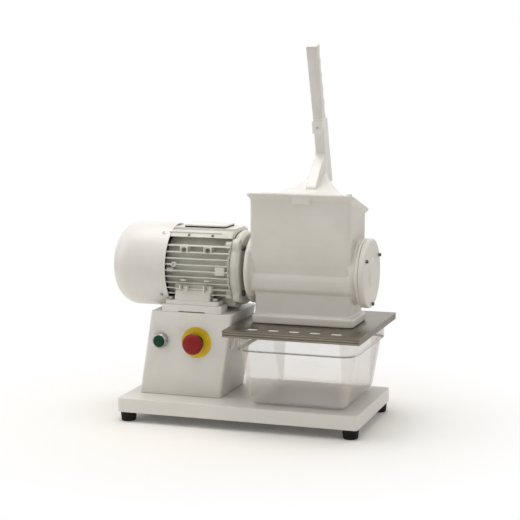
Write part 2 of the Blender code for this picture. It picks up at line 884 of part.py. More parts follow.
def make_grating_drum():
    # Rows of raised pyramid teeth wind round the drum, each tip leaning ahead
    root = drum_tip_radius - drum_tooth_height
    bore = drum_shaft_radius + seat_gap
    length = drum_right - drum_left
    step_angle = 2 * math.pi / drum_teeth_around
    bm = bmesh.new()
    rows = []
    for row in range(drum_rows + 1):
        x = drum_left + length * row / drum_rows
        twist = 0.5 * row * step_angle
        line = []
        for tooth in range(drum_teeth_around):
            angle = twist + tooth * step_angle
            line.append(bm.verts.new((x, root * math.cos(angle), axis_height + root * math.sin(angle))))
        rows.append(line)
    for row in range(drum_rows):
        x = drum_left + length * (row + 0.5) / drum_rows
        for tooth in range(drum_teeth_around):
            after = (tooth + 1) % drum_teeth_around
            angle = (0.5 * (row + 0.5) + tooth + 0.5 + drum_tooth_lean) * step_angle
            tip_y = drum_tip_radius * math.cos(angle)
            tip_z = axis_height + drum_tip_radius * math.sin(angle)
            tip = bm.verts.new((x, tip_y, tip_z))
            loop = (rows[row][tooth], rows[row][after], rows[row + 1][after], rows[row + 1][tooth])
            for index in range(4):
                bm.faces.new((loop[index], loop[(index + 1) % 4], tip))
    bores = []
    for x, row in ((drum_left, 0), (drum_right, drum_rows)):
        twist = 0.5 * row * step_angle
        line = []
        for tooth in range(drum_teeth_around):
            angle = twist + tooth * step_angle
            line.append(bm.verts.new((x, bore * math.cos(angle), axis_height + bore * math.sin(angle))))
        bores.append(line)
    for outer, inner in ((rows[0], bores[0]), (rows[-1], bores[1])):
        for tooth in range(drum_teeth_around):
            after = (tooth + 1) % drum_teeth_around
            bm.faces.new((outer[tooth], outer[after], inner[after], inner[tooth]))
    # The bore's second end is turned back so its faces stay straight
    turn_back = drum_rows // 2
    for tooth in range(drum_teeth_around):
        after = (tooth + 1) % drum_teeth_around
        far = (tooth - turn_back) % drum_teeth_around
        far_after = (after - turn_back) % drum_teeth_around
        bm.faces.new((bores[0][tooth], bores[0][after], bores[1][far_after], bores[1][far]))
    middle = (drum_left + drum_right) / 2
    place("grating_drum", bm, steel, (middle, 0.0, axis_height), smooth=False)


def rim_height(y):
    return rim_front_height - rim_slope * (y - body_front)


def rim_outline(offset, drop, steps=4):
    outline = rounded(body_left - offset, body_right + offset, body_front - offset, body_back + offset,
                      body_corner + offset, steps)
    return [(x, y, rim_height(y) - drop) for x, y in outline]


def body_ring(height, front, back, inset=0.0):
    outline = rounded(body_left + inset, body_right - inset, front + inset, back - inset,
                      max(body_corner - inset, 0.002))
    return [(x, y, height) for x, y in outline]


def waist_ring(share, inset=0.0, left_wall=0.0):
    # The walls curve inwards from the hopper down to the drum
    height = waist_height + waist_rise * share
    pull = waist_inset * (1.0 - share) ** 2
    outline = rounded(body_left + inset + left_wall, body_right - inset, body_front + inset + pull,
                      body_back - inset - 0.3 * pull, body_corner - min(inset, 0.002))
    return [(x, y, height) for x, y in outline]


def make_grater_body():
    middle = (0.0, axis_height)
    # Hopper walls, narrowing towards the drum housing and flared round the slanted mouth
    bm = bmesh.new()
    skin(bm, [
        body_ring(waist_height - 0.008, body_front + waist_inset, body_back - 0.3 * waist_inset),
        waist_ring(0.0),
        waist_ring(0.25),
        waist_ring(0.5),
        waist_ring(0.75),
        waist_ring(1.0),
        rim_outline(0.0, rim_drop),
        rim_outline(rim_flare * 0.35, rim_drop * 0.60),
        rim_outline(rim_flare, rim_drop * 0.28),
        rim_outline(rim_flare, 0.001),
        rim_outline(rim_flare - 0.001, 0.0),
    ])
    body = place("grater_body", bm, white_enamel)
    bm = bmesh.new()
    half = band_half_depth
    front_band = [
        (-half + 0.010, waist_height + 0.001),
        (-half + 0.004, waist_height - 0.0005),
        (-half + 0.001, waist_height - 0.0035),
        (-half, waist_height - 0.010),
        (-half + 0.0005, waist_height - 0.020),
        (-half + 0.002, band_bottom + 0.005),
        (-half + 0.005, band_bottom + 0.001),
        (-half + 0.012, band_bottom - 0.001),
    ]
    outline = front_band + [(-y, z) for y, z in reversed(front_band)]
    prism(bm, outline, "x", body_left + 0.0004, body_right - 0.0004)
    weld(body, place("body_drum_band", bm, white_enamel))
    bm = bmesh.new()
    outline = rounded(body_left + 0.003, body_right - 0.003, -chute_half_depth, chute_half_depth, body_corner)
    prism(bm, outline, "z", shelf_top_height + 0.004, axis_height)
    weld(body, place("body_chute", bm, white_enamel))
    bm = bmesh.new()
    over = body_foot_overhang
    outline = rounded(body_left + 0.003 - over + 0.002, body_right - 0.003 + over,
                      -chute_half_depth - over - 0.001, chute_half_depth + over + 0.001, 0.011, 5)
    prism(bm, outline, "z", shelf_top_height + seat_gap, foot_top)
    foot = place("body_foot", bm, white_enamel)
    soften(foot, 0.002)
    weld(body, foot)
    # Round flange and neck on the motor side
    bm = bmesh.new()
    disc_right = disc_left + left_disc_thickness
    profile = [
        (disc_left, 0.0),
        (disc_left, left_disc_radius - 0.001),
        (disc_left + 0.001, left_disc_radius),
        (disc_right - 0.001, left_disc_radius),
        (disc_right, left_disc_radius - 0.001),
        (disc_right + 0.0015, left_disc_radius - 0.007),
        (body_left + 0.003, left_disc_radius - 0.013),
        (body_left + 0.003, 0.0),
    ]
    turn(bm, profile, "x", middle, 40)
    weld(body, place("body_left_flange", bm, white_enamel))
    # Neck and flange on the cover side
    bm = bmesh.new()
    profile = [
        (body_right - 0.004, 0.0),
        (body_right - 0.004, neck_radius + 0.002),
        (body_right, neck_radius + 0.002),
        (body_right + neck_length * 0.6, neck_radius),
        (cover_seat - body_flange_thickness, neck_radius),
        (cover_seat - body_flange_thickness, cover_radius),
        (cover_seat, cover_radius),
        (cover_seat, 0.0),
    ]
    turn(bm, profile, "x", middle, 40)
    weld(body, place("body_right_flange", bm, white_enamel))
    # Rounded boss under the front rim
    bm = bmesh.new()
    top = rim_front_height - 0.003
    outline = rounded(body_middle - 0.013, body_middle + 0.022, top - 0.014, top, 0.005, 3)
    prism(bm, outline, "y", body_front - 0.005, body_front + 0.004)
    weld(body, place("body_rim_boss", bm, white_enamel))
    # Hinge ears behind the back rim
    for side, name in ((-1, "left"), (1, "right")):
        inner = body_middle + side * (hinge_width / 2 + seat_gap)
        outer = inner + side * ear_thickness
        outline = [(body_back - 0.003, hinge_height - 0.058), (body_back + 0.004, hinge_height - 0.046)]
        outline += arc(hinge_y, hinge_height, hinge_radius + 0.001, -40, 130, 7)
        outline += [(body_back - 0.003, rim_height(body_back) - 0.003)]
        bm = bmesh.new()
        low, high = sorted((inner, outer))
        prism(bm, outline, "x", low, high)
        weld(body, place("body_ear_" + name, bm, white_enamel))
    # Hollow inside: mouth, drum chamber, chute and shaft bore
    bm = bmesh.new()
    mouth = waist_ring(1.0, body_wall)
    bearing_wall = chamber_left + 0.0005 - body_left - body_wall
    skin(bm, [
        waist_ring(0.0, body_wall, bearing_wall),
        waist_ring(0.25, body_wall, bearing_wall),
        waist_ring(0.5, body_wall, bearing_wall),
        waist_ring(0.75, body_wall, 0.3 * bearing_wall),
        mouth,
        [(x, y, rim_height(y) + cut_reach) for x, y, z in mouth],
    ])
    cut(body, place("body_mouth", bm, white_enamel))
    bm = bmesh.new()
    disc(bm, chamber_left, cover_seat + cut_reach, chamber_radius, "x", middle, 48, 0.05)
    cut(body, place("body_chamber", bm, white_enamel))
    bm = bmesh.new()
    low = body_left + 0.003 + chute_wall
    high = body_right - 0.003 - chute_wall
    outline = rounded(low, high, -chute_half_depth + chute_wall, chute_half_depth - chute_wall, 0.004)
    prism(bm, outline, "z", shelf_top_height - cut_reach, axis_height - 0.010)
    cut(body, place("body_outlet", bm, white_enamel))
    bm = bmesh.new()
    disc(bm, disc_left - cut_reach, chamber_left + cut_reach, bearing_radius + seat_gap, "x", middle, 28, 0.07)
    cut(body, place("body_shaft_bore", bm, white_enamel))
    bm = bmesh.new()
    reach = hinge_width / 2 + ear_thickness + cut_reach
    disc(bm, body_middle - reach, body_middle + reach, pin_radius + seat_gap, "x", (hinge_y, hinge_height), 20)
    cut(body, place("body_pin_bore", bm, white_enamel))
    bm = bmesh.new()
    for x, y in body_bolt_spots():
        disc(bm, shelf_top_height - cut_reach, foot_top - 0.003, bolt_shank_radius + seat_gap, "z", (x, y), 16)
    cut(body, place("body_bolt_holes", bm, white_enamel))


def body_bolt_spots():
    spots = []
    for end in (body_left + 0.026, body_right - 0.026):
        for side in (-1, 1):
            spots.append((end, side * (chute_half_depth + body_foot_overhang - body_bolt_setback)))
    return spots


def make_end_cover():
    hub_left = cover_left - bearing_width - 0.0025
    bore = bearing_radius + seat_gap
    bm = bmesh.new()
    profile = [
        (cover_left - 0.001, 0.0),
        (cover_left - 0.001, bore),
        (hub_left, bore),
        (hub_left, bore + 0.006),
        (cover_left - 0.005, bore + 0.008),
        (cover_left - 0.005, chamber_radius - socket_gap),
        (cover_left, chamber_radius - socket_gap),
        (cover_left, cover_radius),
        (cover_right - 0.0025, cover_radius),
        (cover_right, cover_radius - 0.0025),
        (cover_right, cover_boss_radius + 0.003),
        (cover_right + cover_boss_rise, cover_boss_radius),
        (cover_right + cover_boss_rise, 0.0),
    ]
    turn(bm, profile, "x", (0.0, axis_height), 40)
    cover = place("end_cover", bm, white_enamel)
    bm = bmesh.new()
    for y, z in cover_screw_spots():
        disc(bm, cover_left - cut_reach, cover_right + cut_reach, cover_screw_shank_radius + seat_gap,
             "x", (y, z), 12)
    cut(cover, place("cover_holes", bm, white_enamel))


def cover_screw_spots():
    spots = []
    for step in range(cover_screw_count):
        angle = math.radians(30 + 360 * step / cover_screw_count)
        spots.append((cover_screw_circle * math.cos(angle), axis_height + cover_screw_circle * math.sin(angle)))
    return spots


def make_cover_screws():
    for number, spot_yz in enumerate(cover_screw_spots(), 1):
        seat = cover_right + seat_gap
        bm = bmesh.new()
        profile = [
            (cover_left + 0.001, 0.0),
            (cover_left + 0.001, cover_screw_shank_radius),
            (seat, cover_screw_shank_radius),
            (seat, cover_screw_head_radius),
            (seat + cover_screw_head_height, cover_screw_head_radius),
            (seat + cover_screw_head_height, 0.0),
        ]
        turn(bm, profile, "x", spot_yz, 12)
        place(f"cover_screw_{number}", bm, dark_steel)


def make_shelf_plate():
    half = shelf_depth / 2
    bottom = shelf_top_height - shelf_lip
    bm = bmesh.new()
    prism(bm, rounded(shelf_left, shelf_right, -half, half, 0.003, 2), "z", bottom, shelf_top_height)
    shelf = place("shelf_plate", bm, stainless_sheet)
    bm = bmesh.new()
    sheet = shelf_sheet
    outline = rounded(shelf_left + sheet, shelf_right - sheet, -half + sheet, half - sheet, 0.002, 1)
    prism(bm, outline, "z", bottom - cut_reach, shelf_top_height - sheet)
    cut(shelf, place("shelf_inside", bm, stainless_sheet))
    bm = bmesh.new()
    low = body_left + 0.003 + chute_wall
    high = body_right - 0.003 - chute_wall
    side = chute_half_depth - chute_wall
    prism(bm, rounded(low, high, -side, side, 0.004), "z", bottom, shelf_top_height + cut_reach)
    slot_y = -half + shelf_slot_setback
    for step in range(shelf_slot_count):
        x = body_middle + 0.006 + (step - (shelf_slot_count - 1) / 2) * shelf_slot_pitch
        outline = rounded(x - shelf_slot_length / 2, x + shelf_slot_length / 2, slot_y - shelf_slot_width / 2,
                          slot_y + shelf_slot_width / 2, 0.003, 2)
        prism(bm, outline, "z", bottom, shelf_top_height + cut_reach)
    for x, y in body_bolt_spots():
        disc(bm, bottom, shelf_top_height + cut_reach, bolt_shank_radius + seat_gap, "z", (x, y), 16)
    cut(shelf, place("shelf_openings", bm, stainless_sheet))


def make_shelf_arms():
    # Bent arms carry the shelf and the body from the slanted side of the stand
    top = arm_bottom + arm_thickness
    leg_low = top - arm_leg_height
    slant = stand_slant / stand_height
    for side, name in ((-1, "shelf_arm_front"), (1, "shelf_arm_rear")):
        y = side * (chute_half_depth + body_foot_overhang - body_bolt_setback)
        start_low = stand_right_at(leg_low) + seat_gap
        leg = arm_leg_thickness
        lip_clear = shelf_top_height - shelf_lip - seat_gap
        edge_x = shelf_left + shelf_sheet
        outline = [
            (start_low, leg_low),
            (start_low + leg, leg_low),
            (start_low + leg + slant * (lip_clear - 0.022 - leg_low), lip_clear - 0.022),
            (edge_x + 0.0075, lip_clear - 0.010),
            (edge_x + 0.0125, arm_bottom),
            (body_right - 0.012, arm_bottom),
            (body_right - 0.012, top),
            (edge_x + seat_gap, top),
            (edge_x + seat_gap, lip_clear),
            (stand_right_at(lip_clear) + seat_gap, lip_clear),
        ]
        bm = bmesh.new()
        prism(bm, outline, "y", y - arm_width / 2, y + arm_width / 2)
        arm = place(name, bm, steel, smooth=False)
        bm = bmesh.new()
        for x, bolt_y in body_bolt_spots():
            if bolt_y * side > 0:
                disc(bm, lip_clear - 0.03, top + cut_reach, bolt_shank_radius + seat_gap, "z", (x, bolt_y), 16)
        cut(arm, place(name + "_holes", bm, steel))


def make_body_bolts():
    # The bolts come up from under the arms into the casting's foot
    for number, (x, y) in enumerate(body_bolt_spots(), 1):
        seat = arm_bottom - seat_gap
        bm = bmesh.new()
        profile = [
            (seat - 0.0045, 0.0),
            (seat - 0.0045, bolt_head_radius * 0.9),
            (seat, bolt_head_radius * 0.9),
            (seat, bolt_shank_radius),
            (foot_top - 0.005, bolt_shank_radius),
            (foot_top - 0.005, 0.0),
        ]
        turn(bm, profile, "z", (x, y), 12)
        place(f"body_bolt_{number}", bm, steel)


def underside(y):
    return hinge_height - 0.0045 + (presser_back - y) * rim_slope


def make_press_lever():
    pivot = (body_middle, hinge_y, hinge_height)
    side = (body_right - body_left) / 2 - body_wall - presser_side_gap
    front = body_front + body_wall + presser_front_gap
    root_y = stem_root
    shoulder = shoulder_height
    rings = []
    steps = 9
    for step in range(steps + 1):
        t = step / steps
        if step == 0:
            half, low_y, high_y, rise = side, front, presser_back, 0.0
        else:
            s = (step - 1) / (steps - 1)
            half = stem_half_width + (side - stem_half_width) * (1 - s) ** 2.3
            low_y = (root_y - stem_half_depth) - (root_y - stem_half_depth - front) * (1 - s) ** 1.5
            high_y = presser_back + (root_y + stem_half_depth - presser_back) * s ** 0.6
            rise = s
        outline = rounded(body_middle - half, body_middle + half, low_y, high_y, 0.004, 3)
        lift = 0.0 if step == 0 else presser_side_height
        ring_points = []
        for x, y in outline:
            start = underside(y) + lift
            ring_points.append((x, y, start + (shoulder - start) * rise))
        rings.append(ring_points)
    # Stem above the flared presser
    for height in (shoulder + 0.030, stem_top_height - 0.018):
        y = root_y - stem_lean * (height - shoulder)
        outline = rounded(body_middle - stem_half_width, body_middle + stem_half_width, y - stem_half_depth,
                          y + stem_half_depth, 0.004, 3)
        rings.append([(a, b, height) for a, b in outline])
    # Collar that seats the grip
    for height, grow in ((stem_top_height - 0.014, 0.0025), (stem_top_height, 0.0025)):
        y = root_y - stem_lean * (height - shoulder)
        outline = rounded(body_middle - stem_half_width - grow, body_middle + stem_half_width + grow,
                          y - stem_half_depth, y + stem_half_depth, 0.004, 3)
        rings.append([(a, b, height) for a, b in outline])
    bm = bmesh.new()
    skin(bm, rings)
    lever = place("press_lever", bm, white_enamel, pivot)
    # Arm from the hinge barrel over the back rim
    outline = [
        (presser_back + 0.003, underside(presser_back) + 0.012),
        (hinge_y - 0.0075, hinge_height + 0.0135),
        (hinge_y - 0.006, hinge_height),
        (hinge_y + 0.009, hinge_height),
        (hinge_y + 0.0165, hinge_height + 0.030),
        (hinge_y + 0.0175, shoulder - 0.010),
        (hinge_y - 0.006, shoulder - 0.010),
        (presser_back + 0.007, underside(presser_back) + 0.030),
    ]
    bm = bmesh.new()
    prism(bm, outline, "x", body_middle - 0.012, body_middle + 0.012)
    weld(lever, place("lever_arm", bm, white_enamel, pivot))
    bm = bmesh.new()
    disc(bm, body_middle - hinge_width / 2, body_middle + hinge_width / 2, hinge_radius, "x",
         (hinge_y, hinge_height), 28)
    weld(lever, place("lever_barrel", bm, white_enamel, pivot))
    # Strap rib down the front of the presser
    outline = [
        (root_y - stem_half_depth - 0.003, shoulder + 0.012),
        (front + 0.002, underside(front) + presser_side_height + 0.004),
        (front + 0.002, underside(front) + 0.003),
        (presser_back + 0.013, underside(presser_back + 0.013) + 0.012),
        (root_y, shoulder + 0.005),
    ]
    bm = bmesh.new()
    prism(bm, outline, "x", body_middle - 0.0085, body_middle + 0.0085)
    weld(lever, place("lever_rib", bm, white_enamel, pivot))
    bm = bmesh.new()
    disc(bm, body_middle - hinge_width, body_middle + hinge_width, pin_radius + running_gap, "x",
         (hinge_y, hinge_height), 24)
    cut(lever, place("lever_pin_bore", bm, white_enamel, pivot))


def make_lever_grip():
    # Hand grip with finger ridges on its back
    pivot = (body_middle, hinge_y, hinge_height)
    start_height = stem_top_height + seat_gap
    start_y = stem_root - stem_lean * (start_height - shoulder_height)
    rings = []
    steps = 22
    for step in range(steps + 1):
        t = step / steps
        height = start_height + grip_length * t
        y = start_y - stem_lean * grip_length * t
        half = grip_bottom_half_width + (grip_top_half_width - grip_bottom_half_width) * t
        wave = 0.5 - 0.5 * math.cos(2 * math.pi * grip_length * t / grip_ridge_pitch)
        back = grip_half_depth + grip_ridge_height * wave
        front = grip_half_depth
        shrink = 1.0
        if step == steps:
            shrink = 0.78
        outline = rounded(body_middle - half * shrink, body_middle + half * shrink, y - front * shrink,
                          y + back * shrink, 0.005 * shrink, 3)
        rings.append([(a, b, height) for a, b in outline])
    bm = bmesh.new()
    skin(bm, rings)
    place("lever_grip", bm, white_plastic, pivot)


def make_hinge_pin():
    reach = hinge_width / 2 + ear_thickness + 2 * seat_gap
    centre = (hinge_y, hinge_height)
    left = body_middle - reach
    right = body_middle + reach
    bm = bmesh.new()
    profile = [
        (left - 0.004, 0.0),
        (left - 0.004, pin_radius + 0.003),
        (left, pin_radius + 0.003),
        (left, pin_radius),
        (right, pin_radius),
        (right, pin_radius + 0.003),
        (right + 0.004, pin_radius + 0.003),
        (right + 0.004, 0.0),
    ]
    turn(bm, profile, "x", centre, 20)
    place("hinge_pin", bm, steel, (body_middle, hinge_y, hinge_height))


def container_ring(height, grow):
    # Half sizes grow from the floor up to just under the rim
    share = min((height - container_floor) / container_height, 1.0)
    inset = container_rim + container_taper * (1 - share) - grow
    left = container_left + inset
    right = container_left + container_width - inset
    side = container_depth / 2 - inset
    outline = rounded(left, right, -side, side, max(container_corner - inset, 0.004), 5)
    return [(x, y, height) for x, y in outline]


container_floor = base_top + seat_gap


def make_container():
    ledge = container_floor + container_height
    top = ledge + container_collar
    wall = container_wall
    rings = [
        container_ring(container_floor, -0.014),
        container_ring(container_floor + 0.0035, -0.0045),
        container_ring(container_floor + 0.012, 0.0),
        container_ring(ledge - container_shoulder, 0.0),
        container_ring(ledge, container_rim),
        container_ring(top, container_rim),
        container_ring(top, container_rim - wall),
        container_ring(ledge + wall, container_rim - wall),
        container_ring(ledge - container_shoulder + wall, -wall),
        container_ring(container_floor + 0.013, -wall),
        container_ring(container_floor + 0.0055, -0.0045 - wall),
        container_ring(container_floor + wall, -0.014 - wall * 0.5),
    ]
    bm = bmesh.new()
    skin(bm, rings)
    place("container", bm, clear_plastic, (container_left + container_width / 2, 0.0, container_floor))


def make_start_button():
    centre = (start_x, button_height)
    face = stand_front - seat_gap
    bm = bmesh.new()
    inner = cap_radius + seat_gap
    profile = [
        (face, bezel_radius),
        (face - bezel_length + 0.002, bezel_radius - 0.0008),
        (face - bezel_length, bezel_radius - 0.002),
        (face - bezel_length, inner),
        (face - 0.003, inner),
        (face - 0.003, 0.008),
        (face + button_neck_length, 0.008),
        (face + button_neck_length, button_neck_radius),
        (face, button_neck_radius),
    ]
    turn(bm, profile, "y", centre, 28)
    place("start_bezel", bm, chrome_ring, (start_x, face, button_height))
    front = face - cap_reach
    bm = bmesh.new()
    back = face - 0.003 - cap_stroke - seat_gap
    profile = [
        (front, 0.0),
        (front, cap_radius - 0.0015),
        (front + 0.001, cap_radius),
        (back, cap_radius),
        (back, 0.0065),
        (face + 0.006, 0.0065),
        (face + 0.006, 0.0),
    ]
    turn(bm, profile, "y", centre, 28)
    place("start_cap", bm, green_plastic, (start_x, front, button_height))


def make_stop_button():
    centre = (stop_x, button_height)
    face = stand_front - seat_gap
    bm = bmesh.new()
    ring(bm, face - label_thickness, face, button_neck_radius + seat_gap, label_radius, "y", centre, 40)
    place("stop_label", bm, yellow_plastic, (stop_x, face, button_height))
    seat = face - label_thickness - seat_gap
    bore = plunger_radius + seat_gap + 0.0002
    bm = bmesh.new()
    profile = [
        (seat, bezel_radius),
        (seat - 0.004, bezel_radius),
        (seat - collar_length, bezel_radius - 0.002),
        (seat - collar_length, bore),
        (face + button_neck_length, bore),
        (face + button_neck_length, button_neck_radius),
        (seat, button_neck_radius),
    ]
    turn(bm, profile, "y", centre, 28)
    place("stop_collar", bm, green_plastic, (stop_x, seat, button_height))
    front = face - mushroom_reach
    back = front + mushroom_height
    bm = bmesh.new()
    profile = [
        (front, 0.0),
        (front + 0.0006, mushroom_radius * 0.45),
        (front + 0.0022, mushroom_radius * 0.80),
        (front + 0.0050, mushroom_radius * 0.97),
        (front + 0.0075, mushroom_radius),
        (back - 0.001, mushroom_radius - 0.0005),
        (back, mushroom_radius - 0.002),
        (back, plunger_radius),
        (face + 0.006, plunger_radius),
        (face + 0.006, 0.0),
    ]
    turn(bm, profile, "y", centre, 32)
    place("stop_mushroom", bm, red_plastic, (stop_x, front, button_height))


def make_contact_blocks():
    for x, name in ((start_x, "start_contact_block"), (stop_x, "stop_contact_block")):
        low = stand_front + button_neck_length + seat_gap
        bm = bmesh.new()
        outline = rounded(x - block_width / 2, x + block_width / 2, button_height - block_height / 2,
                          button_height + block_height / 2, 0.002, 1)
        prism(bm, outline, "y", low, low + block_depth)
        place(name, bm, black_plastic)


def make_cable_gland():
    wall = stand_depth / 2
    centre = (stand_middle - 0.030, gland_height)
    neck = gland_radius * 0.72 - seat_gap
    bm = bmesh.new()
    profile = [
        (wall - 0.009, 0.0045),
        (wall - 0.009, neck),
        (wall + seat_gap, neck),
        (wall + seat_gap, gland_radius),
        (wall + 0.008, gland_radius),
        (wall + 0.009, gland_radius * 0.85),
        (wall + gland_length - 0.004, gland_radius * 0.85),
        (wall + gland_length, gland_radius * 0.55),
        (wall + gland_length, 0.0045),
    ]
    turn(bm, profile, "y", centre, 18)
    place("cable_gland", bm, black_plastic)


make_base_plate()
make_rubber_feet()
make_motor_stand()
make_mounting_bars()
make_motor_feet()
make_foot_bolts()
make_motor_housing()
make_terminal_cover()
make_stator()
make_rear_shield()
make_front_shield()
make_flange_studs()
make_bearings()
make_fan_cowl()
make_cooling_fan()
make_motor_rotor()
make_coupling()
make_drum_shaft()
make_grating_drum()
make_grater_body()
make_end_cover()
make_cover_screws()
make_shelf_plate()
make_shelf_arms()
make_body_bolts()
make_press_lever()
make_lever_grip()
make_hinge_pin()
make_container()
make_start_button()
make_stop_button()
make_contact_blocks()
make_cable_gland()
bpy.context.view_layer.update()
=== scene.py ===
import json
import math

import bmesh
import bpy
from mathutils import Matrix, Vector


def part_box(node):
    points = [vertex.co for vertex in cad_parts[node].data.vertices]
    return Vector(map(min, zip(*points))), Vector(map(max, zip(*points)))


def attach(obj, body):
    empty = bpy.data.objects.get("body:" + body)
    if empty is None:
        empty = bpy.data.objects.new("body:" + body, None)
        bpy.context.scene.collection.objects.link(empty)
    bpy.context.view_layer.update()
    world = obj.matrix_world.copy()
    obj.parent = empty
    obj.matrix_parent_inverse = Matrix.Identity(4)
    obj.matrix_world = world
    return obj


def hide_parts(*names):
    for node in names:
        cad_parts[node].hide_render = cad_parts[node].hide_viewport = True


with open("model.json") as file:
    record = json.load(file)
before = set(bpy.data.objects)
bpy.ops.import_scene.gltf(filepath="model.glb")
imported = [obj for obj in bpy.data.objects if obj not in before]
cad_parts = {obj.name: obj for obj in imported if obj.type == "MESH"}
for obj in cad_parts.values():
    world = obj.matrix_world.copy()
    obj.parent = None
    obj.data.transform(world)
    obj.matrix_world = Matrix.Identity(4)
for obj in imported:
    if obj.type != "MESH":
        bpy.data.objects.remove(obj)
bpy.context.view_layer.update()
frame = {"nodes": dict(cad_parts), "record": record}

nodes = frame["nodes"]
print("stage: frame loaded,", len(nodes), "nodes")


# Node maths: a Link wraps a socket, a Sheet adds nodes to one tree
class Link:
    def __init__(self, sheet, socket):
        self.sheet = sheet
        self.socket = socket

    def maths(self, operation, other=None, swapped=False):
        values = {0: other, 1: self} if swapped else {0: self, 1: other}
        if other is None:
            values = {0: self}
        return self.sheet.add("ShaderNodeMath", {"operation": operation}, values)

    def __add__(self, other):
        return self.maths("ADD", other)

    def __radd__(self, other):
        return self.maths("ADD", other, True)

    def __sub__(self, other):
        return self.maths("SUBTRACT", other)

    def __mul__(self, other):
        return self.maths("MULTIPLY", other)

    def __rmul__(self, other):
        return self.maths("MULTIPLY", other, True)

    def __truediv__(self, other):
        return self.maths("DIVIDE", other)

    def __pow__(self, other):
        return self.maths("POWER", other)

    def __gt__(self, other):
        return self.maths("GREATER_THAN", other)

    def __lt__(self, other):
        return self.maths("LESS_THAN", other)


class Sheet:
    def __init__(self, tree):
        self.tree = tree

    def add(self, kind, settings=None, values=None, out=0):
        made = self.tree.nodes.new(kind)
        for key, value in (settings or {}).items():
            setattr(made, key, value)
        for key, value in (values or {}).items():
            if isinstance(value, Link):
                self.tree.links.new(value.socket, made.inputs[key])
            else:
                made.inputs[key].default_value = value
        return Link(self, made.outputs[out])

    def join(self, target, link):
        self.tree.links.new(link.socket, target)


class Board(Sheet):
    # One material's nodes
    def __init__(self, name, **fixed):
        self.material = bpy.data.materials.new(name)
        self.material.use_nodes = True
        super().__init__(self.material.node_tree)
        self.shader = self.tree.nodes["Principled BSDF"]
        self.output = self.tree.nodes["Material Output"]
        for key, value in fixed.items():
            self.shader.inputs[key.replace("_", " ")].default_value = value

    def place(self, stretch=(1.0, 1.0, 1.0)):
        here = self.add("ShaderNodeTexCoord", out="Object")
        return self.add("ShaderNodeMapping", values={"Vector": here, "Scale": stretch})

    def noise(self, scale, detail, rough, at=None):
        return self.add("ShaderNodeTexNoise", values={
            "Vector": at or self.place(), "Scale": scale, "Detail": detail, "Roughness": rough})

    def speckle(self, scale):
        return self.add("ShaderNodeTexVoronoi", values={"Vector": self.place(), "Scale": scale})

    def span(self, value, low, high, newLow=0.0, newHigh=1.0):
        return self.add("ShaderNodeMapRange", values={
            "Value": value, "From Min": low, "From Max": high, "To Min": newLow, "To Max": newHigh})

    def blend(self, factor, first, second):
        first, second = (part if isinstance(part, Link) else (*part, 1.0) for part in (first, second))
        return self.add("ShaderNodeMix", {"data_type": "RGBA"}, {0: factor, 6: first, 7: second}, 2)

    def axis(self, letter):
        here = self.add("ShaderNodeTexCoord", out="Object")
        return self.add("ShaderNodeSeparateXYZ", values={0: here}, out=letter)

    def bump(self, height, strength, distance, under=None):
        values = {"Height": height, "Strength": strength, "Distance": distance}
        if under:
            values["Normal"] = under
        return self.add("ShaderNodeBump", values=values)

    def feed(self, key, link):
        self.join(self.shader.inputs[key], link)


class Grower(Sheet):
    # One geometry tree with named sizes, ending in Realize Instances and Set Material
    def __init__(self, name, sizes):
        super().__init__(bpy.data.node_groups.new(name, "GeometryNodeTree"))
        face = self.tree.interface
        for label, kind in {"Geometry": "Geometry", **sizes, "Finish": "Material"}.items():
            face.new_socket(label, in_out="INPUT", socket_type="NodeSocket" + kind)
        face.new_socket("Geometry", in_out="OUTPUT", socket_type="NodeSocketGeometry")
        self.given = self.tree.nodes.new("NodeGroupInput")
        self.last = self.tree.nodes.new("NodeGroupOutput")

    def size(self, label):
        return Link(self, self.given.outputs[label])

    def copies(self, points, label, turn):
        piece = self.add("GeometryNodeObjectInfo", {"transform_space": "ORIGINAL"},
                         {"Object": self.size(label)}, "Geometry")
        return self.add("GeometryNodeInstanceOnPoints", values={
            "Points": points, "Instance": piece, "Rotation": turn})

    def move(self, what, turn=(0.0, 0.0, 0.0)):
        return self.add("GeometryNodeTransform", values={
            "Geometry": what, "Translation": self.size("Centre"), "Rotation": turn})

    def end(self, source, withGiven=False):
        result = self.add("GeometryNodeRealizeInstances", values={0: source})
        if withGiven:
            both = self.tree.nodes.new("GeometryNodeJoinGeometry")
            self.join(both.inputs[0], result)
            self.join(both.inputs[0], self.size("Geometry"))
            result = Link(self, both.outputs[0])
        dressed = self.add("GeometryNodeSetMaterial", values={
            "Geometry": result, "Material": self.size("Finish")})
        self.join(self.last.inputs[0], dressed)
        return self.tree


